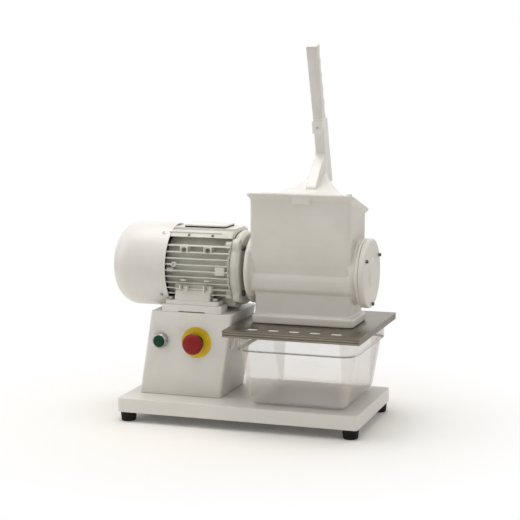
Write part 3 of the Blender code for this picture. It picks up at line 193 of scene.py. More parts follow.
# Enamelled castings, powder-coated sheet and painted aluminium share one recipe
# the edge value sets how much painted shade and dust darken the hollows
paintFinishes = {
    "enamelPaint": {"light": (0.80, 0.775, 0.725), "dark": (0.735, 0.71, 0.655), "rough": (0.26, 0.40),
                    "peelScale": 260.0, "peel": 0.05, "waveScale": 26.0, "wave": 0.16, "edge": 0.35,
                    "coat": 0.18},
    "leverPaint": {"light": (0.84, 0.825, 0.79), "dark": (0.775, 0.755, 0.715), "rough": (0.26, 0.40),
                   "peelScale": 300.0, "peel": 0.05, "waveScale": 30.0, "wave": 0.12, "edge": 0.30,
                   "coat": 0.18},
    "panelPaint": {"light": (0.80, 0.78, 0.735), "dark": (0.755, 0.735, 0.69), "rough": (0.34, 0.46),
                   "peelScale": 520.0, "peel": 0.10, "waveScale": 7.0, "wave": 0.04, "edge": 0.10,
                   "coat": 0.05},
    "cowlPaint": {"light": (0.82, 0.80, 0.77), "dark": (0.765, 0.745, 0.71), "rough": (0.30, 0.42),
                  "peelScale": 420.0, "peel": 0.07, "waveScale": 12.0, "wave": 0.05, "edge": 0.10,
                  "coat": 0.12},
    "motorPaint": {"light": (0.75, 0.745, 0.69), "dark": (0.60, 0.595, 0.54), "rough": (0.34, 0.52),
                   "peelScale": 340.0, "peel": 0.22, "waveScale": 60.0, "wave": 0.20, "edge": 0.45,
                   "coat": 0.05},
}
# Noise is scale, detail and roughness; a span is where a mask starts and ends
# the hollow span and its tint paint shade, with a little dust, into hollows
paintRecipe = {"cloud": (14.0, 5.0, 0.6), "fine": (130.0, 3.0, 0.6), "cloudSpan": (0.30, 0.72),
               "hollowShadeSpan": (0.50, 0.44), "rubbedSpan": (0.53, 0.60), "rubbed": 0.5, "rubbedLift": 1.07,
               "dustAndShadeTint": (0.42, 0.39, 0.34), "speckScale": 160.0, "speckSize": 0.045, "specks": 0.22,
               "speckSpan": (0.55, 0.7), "speckTint": (0.40, 0.37, 0.32), "coatRough": 0.12,
               "waveDeep": 0.002, "peelDeep": 0.0004}


def paintFinish(name):
    look, recipe = paintFinishes[name], paintRecipe
    board = Board(name, Specular_IOR_Level=0.5, Coat_Weight=look["coat"], Coat_Roughness=recipe["coatRough"])
    cloud = board.noise(*recipe["cloud"])
    fine = board.noise(*recipe["fine"])
    tone = board.blend(board.span(cloud, *recipe["cloudSpan"]), look["light"], look["dark"])
    # hollows get darker, painted shade with a little dust in them, and edges rub paler
    curve = board.add("ShaderNodeNewGeometry", out="Pointiness")
    hollowShadeAndDust = board.span(curve, *recipe["hollowShadeSpan"])
    rubbed = board.span(curve, *recipe["rubbedSpan"])
    tone = board.blend(hollowShadeAndDust * look["edge"] * (0.6 + 0.4 * fine), tone, recipe["dustAndShadeTint"])
    pale = tuple(min(1.0, part * recipe["rubbedLift"]) for part in look["light"])
    tone = board.blend(rubbed * recipe["rubbed"], tone, pale)
    specks = board.speckle(recipe["speckScale"]) < recipe["speckSize"]
    specks = specks * recipe["specks"] * board.span(fine, *recipe["speckSpan"])
    board.feed("Base Color", board.blend(specks, tone, recipe["speckTint"]))
    low, high = look["rough"]
    board.feed("Roughness", low + (high - low) * (0.5 * cloud + 0.5 * fine))
    wave = board.bump(board.noise(look["waveScale"], 2.0, 0.5), look["wave"], recipe["waveDeep"])
    peel = board.noise(look["peelScale"], 3.0, 0.6)
    board.feed("Normal", board.bump(peel, look["peel"], recipe["peelDeep"], wave))
    return board.material


metalFinishes = {
    "brushedSheet": {"light": (0.27, 0.238, 0.195), "dark": (0.175, 0.153, 0.125), "rough": (0.26, 0.42),
                     "stretch": (4.0, 340.0, 340.0), "scratch": 0.10},
    "machinedSteel": {"light": (0.56, 0.54, 0.50), "dark": (0.36, 0.34, 0.31), "rough": (0.20, 0.38),
                      "stretch": (260.0, 40.0, 40.0), "scratch": 0.12},
    "darkSteel": {"light": (0.16, 0.155, 0.15), "dark": (0.07, 0.068, 0.065), "rough": (0.32, 0.50),
                  "stretch": (120.0, 120.0, 120.0), "scratch": 0.10},
    "chromedRing": {"light": (0.50, 0.49, 0.475), "dark": (0.36, 0.35, 0.335), "rough": (0.12, 0.26),
                    "stretch": (60.0, 240.0, 60.0), "scratch": 0.04},
    "laminatedIron": {"light": (0.30, 0.29, 0.28), "dark": (0.16, 0.15, 0.15), "rough": (0.45, 0.65),
                      "stretch": (1600.0, 8.0, 8.0), "scratch": 0.35},
}
metalRecipe = {"lines": (1.0, 4.0, 0.65), "cloud": (16.0, 4.0, 0.6), "stains": (34.0, 5.0, 0.7),
               "toneSpan": (0.36, 0.64), "stainSpan": (0.60, 0.78), "stained": 0.35, "roughSpan": (0.3, 0.7),
               "scratchDeep": 0.0004}


def metalFinish(name):
    look, recipe = metalFinishes[name], metalRecipe
    board = Board(name, Metallic=1.0)
    lines = board.noise(*recipe["lines"], board.place(look["stretch"]))
    cloud = board.noise(*recipe["cloud"])
    streaks = board.span(lines * 0.6 + cloud * 0.4, *recipe["toneSpan"])
    tone = board.blend(streaks, look["dark"], look["light"])
    stains = board.span(board.noise(*recipe["stains"]), *recipe["stainSpan"])
    board.feed("Base Color", board.blend(stains * recipe["stained"], tone, look["dark"]))
    board.feed("Roughness", board.span(lines * 0.5 + cloud * 0.5, *recipe["roughSpan"], *look["rough"]))
    board.feed("Normal", board.bump(lines, look["scratch"], recipe["scratchDeep"]))
    return board.material


plasticFinishes = {
    "blackRubber": {"light": (0.012, 0.0115, 0.011), "dark": (0.006, 0.006, 0.006), "rough": (0.55, 0.78),
                    "grain": 520.0, "depth": 0.28, "coat": 0.0, "sheen": 0.2},
    "blackPlastic": {"light": (0.040, 0.040, 0.042), "dark": (0.020, 0.020, 0.021), "rough": (0.38, 0.55),
                     "grain": 700.0, "depth": 0.10, "coat": 0.0, "sheen": 0.45},
    "gripPlastic": {"light": (0.80, 0.785, 0.75), "dark": (0.73, 0.71, 0.67), "rough": (0.30, 0.44),
                    "grain": 420.0, "depth": 0.07, "coat": 0.1, "sheen": 0.45},
    "greenPlastic": {"light": (0.003, 0.055, 0.023), "dark": (0.002, 0.034, 0.015), "rough": (0.26, 0.42),
                     "grain": 460.0, "depth": 0.05, "coat": 0.0, "sheen": 0.22},
    "redPlastic": {"light": (0.30, 0.012, 0.012), "dark": (0.21, 0.008, 0.009), "rough": (0.28, 0.44),
                   "grain": 460.0, "depth": 0.06, "coat": 0.0, "sheen": 0.25},
    "yellowPlastic": {"light": (0.84, 0.58, 0.020), "dark": (0.74, 0.49, 0.016), "rough": (0.36, 0.50),
                      "grain": 380.0, "depth": 0.05, "coat": 0.05, "sheen": 0.45},
}
plasticRecipe = {"cloud": (40.0, 4.0, 0.6), "cloudSpan": (0.32, 0.70), "dustNoise": (90.0, 5.0, 0.7),
                 "dustSpan": (0.62, 0.80), "dust": 0.025, "dustAndShadeTint": (0.55, 0.53, 0.50),
                 "roughSpan": (0.3, 0.7), "coatRough": 0.15, "grainDeep": 0.0004}


def plasticFinish(name):
    look, recipe = plasticFinishes[name], plasticRecipe
    board = Board(name, Specular_IOR_Level=look["sheen"], Coat_Weight=look["coat"],
                  Coat_Roughness=recipe["coatRough"])
    cloud = board.noise(*recipe["cloud"])
    grain = board.noise(look["grain"], 2.0, 0.5)
    tone = board.blend(board.span(cloud, *recipe["cloudSpan"]), look["light"], look["dark"])
    dust = board.span(board.noise(*recipe["dustNoise"]), *recipe["dustSpan"]) * recipe["dust"]
    board.feed("Base Color", board.blend(dust, tone, recipe["dustAndShadeTint"]))
    board.feed("Roughness", board.span(cloud * 0.6 + grain * 0.4, *recipe["roughSpan"], *look["rough"]))
    board.feed("Normal", board.bump(grain, look["depth"], recipe["grainDeep"]))
    return board.material


# the line's tint, levels and cover paint a dark line where the thick ledge bends the light
clearLook = {"tint": (0.86, 0.80, 0.72), "edgeTint": (0.42, 0.385, 0.335), "facing": 0.075, "grazing": 0.66,
             "blend": 0.30, "edgePower": 2.4, "refractionLineTint": (0.23, 0.20, 0.16), "refractionLineLow": 0.1496,
             "refractionLineHigh": 0.1524, "line": 0.62, "refractionLineCover": 0.9, "floor": 0.060, "floorFade": 0.012,
             "floorCloud": 0.16, "round": 0.032, "soft": 0.0035, "corner": 0.16, "smear": 0.05,
             "scratch": 0.04, "smearNoise": (11.0, 5.0, 0.65), "scratchNoise": (1.0, 4.0, 0.6),
             "stretch": (30.0, 30.0, 420.0), "scratchSpan": (0.58, 0.72), "roughSpan": (0.35, 0.7),
             "rough": (0.06, 0.18), "scratchRough": 0.15, "waveNoise": (9.0, 2.0, 0.5), "wave": 0.10,
             "waveDeep": 0.002}


def clearFinish(name):
    look = clearLook
    board = Board(name, Specular_IOR_Level=0.5, IOR=1.5)
    edge = board.add("ShaderNodeLayerWeight", values={"Blend": look["blend"]}, out="Facing")
    height = board.axis("Z")
    smear = board.noise(*look["smearNoise"])
    scratch = board.noise(*look["scratchNoise"], board.place(look["stretch"]))
    scratch = board.span(scratch, *look["scratchSpan"])
    # a painted dark line stands for the light that the thick ledge under the collar bends away
    line = (height > look["refractionLineLow"]) * (height < look["refractionLineHigh"])
    base = board.span(height, look["floor"], look["floor"] - look["floorFade"])
    tone = board.blend(edge ** 2.0, look["tint"], look["edgeTint"])
    board.feed("Base Color", board.blend(line * look["refractionLineCover"], tone, look["refractionLineTint"]))
    # rounded upright corners gather the light
    low, high = corners("container")
    corner = 1.0
    for axis, letter in enumerate("XY"):
        start = (high[axis] - low[axis]) / 2 - look["round"]
        away = board.axis(letter) - (low[axis] + high[axis]) / 2
        corner = board.span((away * away) ** 0.5, start, start + look["soft"]) * corner
    facing, grazing = look["facing"], look["grazing"]
    cover = facing + (grazing - facing) * edge ** look["edgePower"] + look["corner"] * corner
    cover = cover + look["smear"] * smear + look["scratch"] * scratch + look["floorCloud"] * base
    # the painted dark line is made more opaque too
    board.feed("Alpha", cover + look["line"] * line)
    rough = board.span(smear, *look["roughSpan"], *look["rough"])
    board.feed("Roughness", rough + look["scratchRough"] * scratch)
    board.feed("Normal", board.bump(board.noise(*look["waveNoise"]), look["wave"], look["waveDeep"]))
    return board.material


def corners(node):
    return [Vector(corner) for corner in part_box(node)]


finishes = {name: paintFinish(name) for name in paintFinishes}
finishes.update({name: metalFinish(name) for name in metalFinishes})
finishes.update({name: plasticFinish(name) for name in plasticFinishes})
finishes["clearPlastic"] = clearFinish("clearPlastic")

slotFinish = {
    "white_enamel": "enamelPaint", "white_panel": "panelPaint", "cast_aluminium": "motorPaint",
    "steel": "machinedSteel", "stainless_sheet": "brushedSheet", "dark_steel": "darkSteel",
    "stator_iron": "laminatedIron", "black_rubber": "blackRubber", "black_plastic": "blackPlastic",
    "white_plastic": "gripPlastic", "clear_plastic": "clearPlastic", "green_plastic": "greenPlastic",
    "red_plastic": "redPlastic", "yellow_plastic": "yellowPlastic", "chrome_ring": "chromedRing",
}
nodeFinish = {"fan_cowl": "cowlPaint", "press_lever": "leverPaint"}
nodeSlot = {entry["node"]: entry["material_slot"] for entry in frame["record"]["subparts"]}
for name, thing in nodes.items():
    finish = finishes[nodeFinish.get(name, slotFinish[nodeSlot[name]])]
    if thing.data.materials:
        thing.data.materials[0] = finish
    else:
        thing.data.materials.append(finish)
print("stage: finishes made,", len(finishes))


# Mesh helpers
def makeObject(name, bm, finish, smooth=38.0):
    bmesh.ops.remove_doubles(bm, verts=bm.verts[:], dist=1e-6)
    bmesh.ops.recalc_face_normals(bm, faces=bm.faces[:])
    mesh = bpy.data.meshes.new(name)
    bm.to_mesh(mesh)
    bm.free()
    shade(mesh, smooth)
    mesh.materials.append(finishes[finish])
    thing = bpy.data.objects.new(name, mesh)
    bpy.context.collection.objects.link(thing)
    return thing


def shade(mesh, smooth):
    if smooth:
        mesh.shade_smooth()
        mesh.set_sharp_from_angle(angle=math.radians(smooth))


def bake(thing, smooth):
    sheet = bpy.context.evaluated_depsgraph_get()
    mesh = bpy.data.meshes.new_from_object(thing.evaluated_get(sheet))
    thing.modifiers.clear()
    thing.data = mesh
    shade(mesh, smooth)
    return thing


def bodyOf(node):
    for body, members in frame["record"]["behaviour"]["bodies"].items():
        if node in members:
            return body


def addTo(thing, body, slot, *replaced):
    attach(thing, body)
    if replaced:
        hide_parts(*replaced)
    print("piece:", thing.name, len(thing.data.polygons), "faces")


def standFor(thing, node):
    addTo(thing, bodyOf(node), nodeSlot[node], node)


def join(name, things, finish, smooth):
    bm = bmesh.new()
    for thing in things:
        bm.from_mesh(thing.data)
        bpy.data.objects.remove(thing, do_unlink=True)
    return makeObject(name, bm, finish, smooth)


def grow(thing, tree, sizes, smooth=38.0):
    # Sets the tree's inputs by socket identifier, then keeps the plain mesh
    made = thing.modifiers.new(tree.name, "NODES")
    made.node_group = tree
    ids = {item.name: item.identifier for item in tree.interface.items_tree if item.in_out == "INPUT"}
    for label, value in sizes.items():
        made[ids[label]] = value
    return bake(thing, smooth)


def pour(thing, look):
    # Remeshes finely and softens, like poured metal
    remesh = thing.modifiers.new("voxels", "REMESH")
    remesh.mode = "VOXEL"
    remesh.voxel_size = look["voxel"]
    soften = thing.modifiers.new("soften", "SMOOTH")
    soften.factor = look["factor"]
    soften.iterations = look["rounds"]
    return bake(thing, None)


def roundedLine(points, radius, steps=3, closed=True):
    # Softens each corner of a section with a short curve
    result = []
    count = len(points)
    for index, point in enumerate(points):
        here = Vector(point)
        if not closed and index in (0, count - 1):
            result.append(tuple(here))
            continue
        before = Vector(points[index - 1]) - here
        after = Vector(points[(index + 1) % count]) - here
        start = here + before.normalized() * min(radius, 0.45 * before.length)
        end = here + after.normalized() * min(radius, 0.45 * after.length)
        for number in range(steps + 1):
            t = number / steps
            result.append(tuple(start * (1 - t) ** 2 + here * 2 * t * (1 - t) + end * t ** 2))
    return result


def circle(count, radius, start=0.0):
    turns = [start + math.tau * index / count for index in range(count)]
    return [(radius * math.cos(turn), radius * math.sin(turn)) for turn in turns]


def turnedMesh(bm, section, centre, axis, segments):
    # Section points are (along, radius); points on the axis close to a pole
    rows = []
    for along, radius in section:
        row = []
        for a, b in circle(segments, radius) if radius > 1e-6 else [(0.0, 0.0)]:
            a, b = a + centre[0], b + centre[1]
            row.append(bm.verts.new({"x": (along, a, b), "y": (a, along, b), "z": (a, b, along)}[axis]))
        rows.append(row)
    pairs = list(zip(rows, rows[1:]))
    if section[0][1] > 1e-6:
        pairs.append((rows[-1], rows[0]))
    for low, high in pairs:
        for index in range(segments):
            after = (index + 1) % segments
            if len(low) == 1 and len(high) > 1:
                bm.faces.new((low[0], high[index], high[after]))
            elif len(high) == 1 and len(low) > 1:
                bm.faces.new((low[index], low[after], high[0]))
            elif len(low) > 1:
                bm.faces.new((low[index], low[after], high[after], high[index]))


def ringMesh(bm, along, radii, centre, axis, segments, rounding, steps=2):
    # Rounded ring, or a disc when its inner radius is nought
    (low, high), (inner, outer) = along, radii
    section = [(low, inner), (low, outer), (high, outer), (high, inner)]
    turnedMesh(bm, roundedLine(section, rounding, steps, inner > 0.0), centre, axis, segments)


def loftMesh(bm, rings):
    rows = [[bm.verts.new(point) for point in ring] for ring in rings]
    for low, high in zip(rows, rows[1:]):
        for index in range(len(low)):
            after = (index + 1) % len(low)
            bm.faces.new((low[index], low[after], high[after], high[index]))
    bm.faces.new(list(reversed(rows[0])))
    bm.faces.new(rows[-1])


def roundedRect(aLow, aHigh, bLow, bHigh, radius, steps=6):
    middles = ((aHigh - radius, bHigh - radius, 0.0), (aLow + radius, bHigh - radius, 0.5),
               (aLow + radius, bLow + radius, 1.0), (aHigh - radius, bLow + radius, 1.5))
    points = []
    for a, b, start in middles:
        for number in range(steps + 1):
            angle = math.pi * (start + 0.5 * number / steps)
            points.append((a + radius * math.cos(angle), b + radius * math.sin(angle)))
    return points


def blockMesh(bm, low, high, radius):
    # Small rounded block between two corners, softened by a bevel
    made = bmesh.ops.create_cube(bm, size=1.0)
    size = [b - a for a, b in zip(low, high)]
    middle = [(a + b) / 2 for a, b in zip(low, high)]
    for corner in made["verts"]:
        corner.co = [corner.co[i] * size[i] + middle[i] for i in range(3)]
    edges = list({edge for corner in made["verts"] for edge in corner.link_edges})
    bmesh.ops.bevel(bm, geom=edges, offset=radius, segments=3, profile=0.5, affect="EDGES")


def sectionOf(points, places):
    # A point is a place along the axis, mm from it, then mm of radius that may start at a place too
    return [(places[along] + shift * mm, places.get(radius[0], 0.0) + radius[-1] * mm)
            for along, shift, *radius in points]


mm = 0.001
axisHeight = 0.290
shaftLine = (0.0, axisHeight)
housingLow, housingHigh = corners("motor_housing")
cowlLow, cowlHigh = corners("fan_cowl")

# A casting is the node's own shape, remeshed finely and softened like poured metal
castings = {
    "hopperCasting": {"node": "grater_body", "voxel": 0.00165, "rounds": 9, "factor": 0.55,
                      "finish": "enamelPaint"},
    "footCastingFront": {"node": "motor_foot_front", "voxel": 0.0008, "rounds": 4, "factor": 0.5,
                         "finish": "enamelPaint"},
    "footCastingRear": {"node": "motor_foot_rear", "voxel": 0.0008, "rounds": 4, "factor": 0.5,
                        "finish": "enamelPaint"},
    "shieldCasting": {"node": "front_shield", "voxel": 0.0011, "rounds": 5, "factor": 0.5,
                      "finish": "motorPaint"},
}


def makeCasting(name):
    look = castings[name]
    bm = bmesh.new()
    bm.from_mesh(nodes[look["node"]].data)
    thing = pour(makeObject(name, bm, look["finish"], None), look)
    thing.data.shade_smooth()
    thing.data.materials.clear()
    thing.data.materials.append(finishes[look["finish"]])
    standFor(thing, look["node"])


# Heads, nuts and screws: "profile" is share of the height and of the head's radius
fastenerLook = {"around": 36, "washerTall": 0.0011, "washerRound": 0.0003, "threadAround": 24,
                "pitch": 0.0008, "socketDeep": 0.45, "socketTaper": 0.97, "threadStart": 0.001,
                "threadDeep": 0.0004, "threadEnd": 0.0006, "smooth": 32.0,
                "profile": ((0.0, 0.97), (0.08, 1.0), (0.84, 1.0), (0.95, 0.93), (1.0, 0.80))}
boltLook = {"head": 0.0052, "tall": 0.0042, "washer": 0.0070, "sides": 6, "socket": 0.0, "thread": 0.0,
            "threadUp": 0.0, "jitter": 1.0, "finish": "machinedSteel", "slot": "steel"}
nutLook = dict(boltLook, head=0.0058, tall=0.0046, washer=0.0, thread=0.0030, threadUp=0.0012,
               finish="darkSteel")
socketLook = dict(boltLook, head=0.0033, tall=0.0040, washer=0.0, sides=36, socket=0.0017, finish="darkSteel",
                  slot="dark_steel")
panLook = dict(boltLook, head=0.0036, tall=0.0019, washer=0.0, sides=36, socket=0.0016)
smallBoltLook = dict(boltLook, head=0.0040, tall=0.0034, washer=0.0)
# a hole's dark disc is painted shade of the hole
holeShadeLook = dict(panLook, head=0.0026, tall=0.0012, socket=0.0017, finish="darkSteel", slot="dark_steel")
# "seat" is a side of the node's box, 1 for high and 0 for low, with its axis and the shift from it
nodeFasteners = {
    "footBolts": {"look": boltLook, "node": "foot_bolt_", "count": 4, "seat": (1, 2, -0.0068),
                  "turn": 0.0, "seed": 3},
    "coverScrews": {"look": socketLook, "node": "cover_screw_", "count": 3, "seat": (1, 0, -0.0049),
                    "turn": math.pi / 2, "seed": 5},
    "flangeNuts": {"look": nutLook, "node": "flange_nut_", "count": 4, "seat": (0, 0, 0.0004),
                   "turn": math.pi / 2, "seed": 7},
}
cowlScrewLook = {"angles": (125.0, 218.0, 55.0, 322.0), "sink": 0.0006, "setback": 0.013}
terminalScrewLook = dict(panLook, tall=0.0011, inset=0.006, sink=0.0012)
collarScrewLook = dict(panLook, head=0.0024, tall=0.0010, socket=0.0012)
lugBoltLook = dict(smallBoltLook, head=0.0042, tall=0.0026, finish="darkSteel")
# the eye's dark disc is painted shade of its hole
eyeHoleShadeLook = dict(holeShadeLook, head=0.0023, tall=0.0008)
facingFront = (math.pi / 2, 0.0, 0.0)


def scatterTree():
    # One copy of a fastener on each point, all facing one way, each spun by its own amount
    tree = Grower("scatterFastener", {
        "Fastener": "Object", "Turn": "Vector", "Jitter": "Float", "Seed": "Int"})
    spin = tree.add("FunctionNodeRandomValue", {"data_type": "FLOAT"}, {"Seed": tree.size("Seed")}, 1)
    own = tree.add("ShaderNodeCombineXYZ", values={"Z": spin * tree.size("Jitter")})
    turns = [tree.add("FunctionNodeEulerToRotation", values={0: turn}) for turn in (tree.size("Turn"), own)]
    turned = tree.add("FunctionNodeRotateRotation", {"rotation_space": "LOCAL"}, dict(enumerate(turns)))
    return tree.end(tree.copies(tree.size("Geometry"), "Fastener", turned))


scatter = scatterTree()


def makeFastener(look):
    # Head or nut standing on +Z with a washer, a domed top and a thread end or a socket
    shape = fastenerLook
    bm = bmesh.new()
    head, tall, sides, thread = look["head"], look["tall"], look["sides"], look["thread"]
    low = 0.0
    if look["washer"]:
        low = shape["washerTall"]
        ringMesh(bm, (0.0, low), (0.0, look["washer"]), (0.0, 0.0), "z", shape["around"],
                 shape["washerRound"])
    rings = []
    for share, part in shape["profile"]:
        ring = []
        for index in range(shape["around"]):
            angle = math.tau * index / shape["around"]
            flat = head * math.cos(math.pi / sides) / math.cos((angle % (math.tau / sides)) - math.pi / sides)
            reach = min(head * part, flat) if sides < 12 else head * part
            ring.append((reach * math.cos(angle), reach * math.sin(angle), low + tall * share))
        rings.append(ring)
    if look["socket"]:
        for share, part in ((1.0, 1.0), (shape["socketDeep"], shape["socketTaper"])):
            spots = circle(shape["around"], look["socket"] * part)
            rings.append([(a, b, low + tall * share) for a, b in spots])
    loftMesh(bm, rings)
    if thread:
        height = low + tall - shape["threadStart"]
        section = [(height, 0.0)]
        while height < low + tall + look["threadUp"]:
            section += [(height, thread), (height + shape["pitch"] / 2, thread - shape["threadDeep"])]
            height += shape["pitch"]
        section += [(height, thread - shape["threadEnd"]), (height, 0.0)]
        turnedMesh(bm, section, (0.0, 0.0), "z", shape["threadAround"])
    return makeObject("fastener", bm, look["finish"], shape["smooth"])


def scatterPieces(name, look, places, turn, seed, replaced=(), body="frame"):
    source = makeFastener(look)
    bm = bmesh.new()
    for place in places:
        bm.verts.new(place)
    mesh = bpy.data.meshes.new(name)
    bm.to_mesh(mesh)
    bm.free()
    thing = bpy.data.objects.new(name, mesh)
    bpy.context.collection.objects.link(thing)
    grow(thing, scatter, {"Fastener": source, "Turn": turn, "Jitter": look["jitter"], "Seed": seed,
                          "Finish": finishes[look["finish"]]}, fastenerLook["smooth"])
    bpy.data.objects.remove(source, do_unlink=True)
    addTo(thing, body, look["slot"], *replaced)


def makeFasteners():
    for name, group in nodeFasteners.items():
        replaced = [f"{group['node']}{number}" for number in range(1, group["count"] + 1)]
        side, axis, shift = group["seat"]
        places = []
        for node in replaced:
            box = corners(node)
            place = (box[0] + box[1]) / 2
            place[axis] = box[side][axis] + shift
            places.append(tuple(place))
        scatterPieces(name, group["look"], places, (0.0, group["turn"], 0.0), group["seed"], replaced)
    # Pan screws hold the cowl and the cover plate
    reach = (cowlHigh.z - cowlLow.z) / 2 - cowlScrewLook["sink"]
    for number, angle in enumerate(cowlScrewLook["angles"]):
        out = Vector((0.0, math.cos(math.radians(angle)), math.sin(math.radians(angle))))
        place = Vector((cowlHigh.x - cowlScrewLook["setback"], 0.0, axisHeight)) + reach * out
        aim = out.to_track_quat("Z", "Y").to_euler()
        scatterPieces(f"cowlScrew{number + 1}", panLook, [tuple(place)], tuple(aim), number)
    low, high = corners("terminal_cover")
    inset = terminalScrewLook["inset"]
    places = [(x, y, high.z - terminalScrewLook["sink"])
              for x in (low.x + inset, high.x - inset) for y in (low.y + inset, high.y - inset)]
    scatterPieces("terminalScrews", terminalScrewLook, places, (0.0, 0.0, 0.0), 9)


# The cowl's lip is mm from its open end and mm from its outer radius
cowlLook = {"rounding": 0.040, "wall": 0.0025, "arc": 12, "around": 128,
            "lip": (("end", -6.0, "outer", 0.0), ("end", -5.2, "outer", -0.4), ("end", -0.4, "outer", -0.4),
                    ("end", 0.0, "outer", -0.8), ("end", 0.0, "outer", -2.5)),
            "slots": 12, "slotWidth": 0.0042, "slotRound": 0.49, "slotInner": 0.0112, "slotOuter": 0.0368,
            "cut": (-0.006, 0.008)}


def perforateTree():
    # Slots stand round a circle and are cut through the shell's end
    tree = Grower("cutSlots", {
        "Cutter": "Object", "Slots": "Int", "Middle Radius": "Float", "Centre": "Vector"})
    ring = tree.add("GeometryNodeMeshCircle", values={
        "Vertices": tree.size("Slots"), "Radius": tree.size("Middle Radius")})
    here = tree.add("GeometryNodeInputPosition")
    aim = tree.add("FunctionNodeAlignRotationToVector", {"axis": "X"}, {"Vector": here})
    stood = tree.move(tree.copies(ring, "Cutter", aim), (0.0, math.pi / 2, 0.0))
    solid = tree.add("GeometryNodeRealizeInstances", values={0: stood})
    return tree.end(tree.add("GeometryNodeMeshBoolean", {"operation": "DIFFERENCE", "solver": "EXACT"},
                             {"Mesh 1": tree.size("Geometry"), "Mesh 2": solid}))


def makeCowl():
    look = cowlLook
    outer = (cowlHigh.z - cowlLow.z) / 2
    bend, wall, left = look["rounding"], look["wall"], cowlLow.x

    def dome(reach):
        turns = [math.pi / 2 * index / look["arc"] for index in range(look["arc"] + 1)]
        return [(left + bend - reach * math.cos(t), outer - bend + reach * math.sin(t)) for t in turns]

    lip = sectionOf(look["lip"], {"end": cowlHigh.x, "outer": outer})
    section = [(left, 0.0)] + dome(bend) + lip + dome(bend - wall)[::-1] + [(left + wall, 0.0)]
    bm = bmesh.new()
    turnedMesh(bm, section, shaftLine, "x", look["around"])
    cowl = makeObject("cowlShell", bm, "cowlPaint")
    bm = bmesh.new()
    half, wide = (look["slotOuter"] - look["slotInner"]) / 2, look["slotWidth"] / 2
    outline = roundedRect(-half, half, -wide, wide, look["slotWidth"] * look["slotRound"], 5)
    loftMesh(bm, [[(a, b, height) for a, b in outline] for height in look["cut"]])
    cutter = makeObject("slotCutter", bm, "cowlPaint", None)
    middle = (look["slotOuter"] + look["slotInner"]) / 2
    grow(cowl, perforateTree(), {
        "Cutter": cutter, "Slots": look["slots"], "Middle Radius": middle,
        "Centre": (left, 0.0, axisHeight), "Finish": finishes["cowlPaint"]})
    bpy.data.objects.remove(cutter, do_unlink=True)
    standFor(cowl, "fan_cowl")


# A tooth is a punched burr: a raised cone with one steep cutting side
drumLook = {"rows": 27, "around": 38, "tooth": 0.0027, "lean": 0.5, "base": 0.0052, "bore": 0.0103,
            "end": 0.0005, "chamfer": 0.0012, "round": 0.0004, "segments": 96, "sides": 8,
            "foot": (0.9, 1.0, 0.0), "brow": (0.42, 0.42, 0.35), "browUp": 0.72, "tipLean": 0.75,
            "tipDrop": 0.00005, "sunk": 0.0003, "seated": 0.0001, "margin": 0.008, "twist": 2.2}


def drumTree():
    # A grid of points is wrapped on the cylinder and a leaning tooth stands on each
    tree = Grower("gratingTeeth", {
        "Tooth": "Object", "Rows": "Int", "Around": "Int", "Length": "Float", "Root Radius": "Float",
        "Twist": "Float", "Centre": "Vector"})
    around, length, root = tree.size("Around"), tree.size("Length"), tree.size("Root Radius")
    grid = tree.add("GeometryNodeMeshGrid", values={
        "Size X": length, "Size Y": 1.0, "Vertices X": tree.size("Rows"), "Vertices Y": around})
    here = tree.add("GeometryNodeInputPosition")
    x, y = (tree.add("ShaderNodeSeparateXYZ", values={0: here}, out=letter) for letter in "XY")
    # the last column stops one step short of the first
    angle = y * ((around - 1.0) / around * math.tau) + x / length * tree.size("Twist")
    spot = tree.add("ShaderNodeCombineXYZ", values={
        "X": x, "Y": angle.maths("COSINE") * root, "Z": angle.maths("SINE") * root})
    wrapped = tree.add("GeometryNodeSetPosition", values={"Geometry": grid, "Position": spot})
    radial = tree.add("ShaderNodeVectorMath", {"operation": "MULTIPLY"}, {0: here, 1: (0.0, 1.0, 1.0)})
    stand = tree.add("FunctionNodeAlignRotationToVector", {"axis": "Z"}, {"Vector": radial})
    keepX = tree.add("FunctionNodeAlignRotationToVector", {"axis": "X", "pivot_axis": "Z"},
                     {"Rotation": stand, "Vector": (1.0, 0.0, 0.0)})
    return tree.end(tree.move(tree.copies(wrapped, "Tooth", keepX)), True)


def makeDrum():
    look = drumLook
    drumLow, drumHigh = corners("grating_drum")
    tip = (drumHigh.z - drumLow.z) / 2
    root, bore = tip - look["tooth"], look["bore"]
    left, right = drumLow.x, drumHigh.x
    section = [(left, bore), (left, root - look["end"]), (left + look["chamfer"], root),
               (right - look["chamfer"], root), (right, root - look["end"]), (right, bore)]
    bm = bmesh.new()
    turnedMesh(bm, roundedLine(section, look["round"], 2), shaftLine, "x", look["segments"])
    drum = makeObject("toothedDrum", bm, "machinedSteel")
    bm = bmesh.new()
    base, tall = look["base"] / 2, look["tooth"]

    def ring(shares, height):
        along, across, lean = shares
        return [bm.verts.new((base * along * a, base * (across * b + lean * look["lean"]), height))
                for a, b in circle(look["sides"], 1.0)]

    foot = ring(look["foot"], -look["sunk"])
    brow = ring(look["brow"], tall * look["browUp"])
    top = bm.verts.new((0.0, base * look["tipLean"] * look["lean"], tall - look["tipDrop"]))
    for index in range(look["sides"]):
        after = (index + 1) % look["sides"]
        bm.faces.new((foot[index], foot[after], brow[after], brow[index]))
        bm.faces.new((brow[index], brow[after], top))
    bm.faces.new(list(reversed(foot)))
    tooth = makeObject("drumTooth", bm, "machinedSteel", 25.0)
    grow(drum, drumTree(), {
        "Tooth": tooth, "Rows": look["rows"], "Around": look["around"],
        "Length": right - left - look["margin"], "Root Radius": root - look["seated"],
        "Twist": look["twist"], "Centre": ((left + right) / 2, 0.0, axisHeight),
        "Finish": finishes["machinedSteel"]}, 28.0)
    bpy.data.objects.remove(tooth, do_unlink=True)
    standFor(drum, "grating_drum")


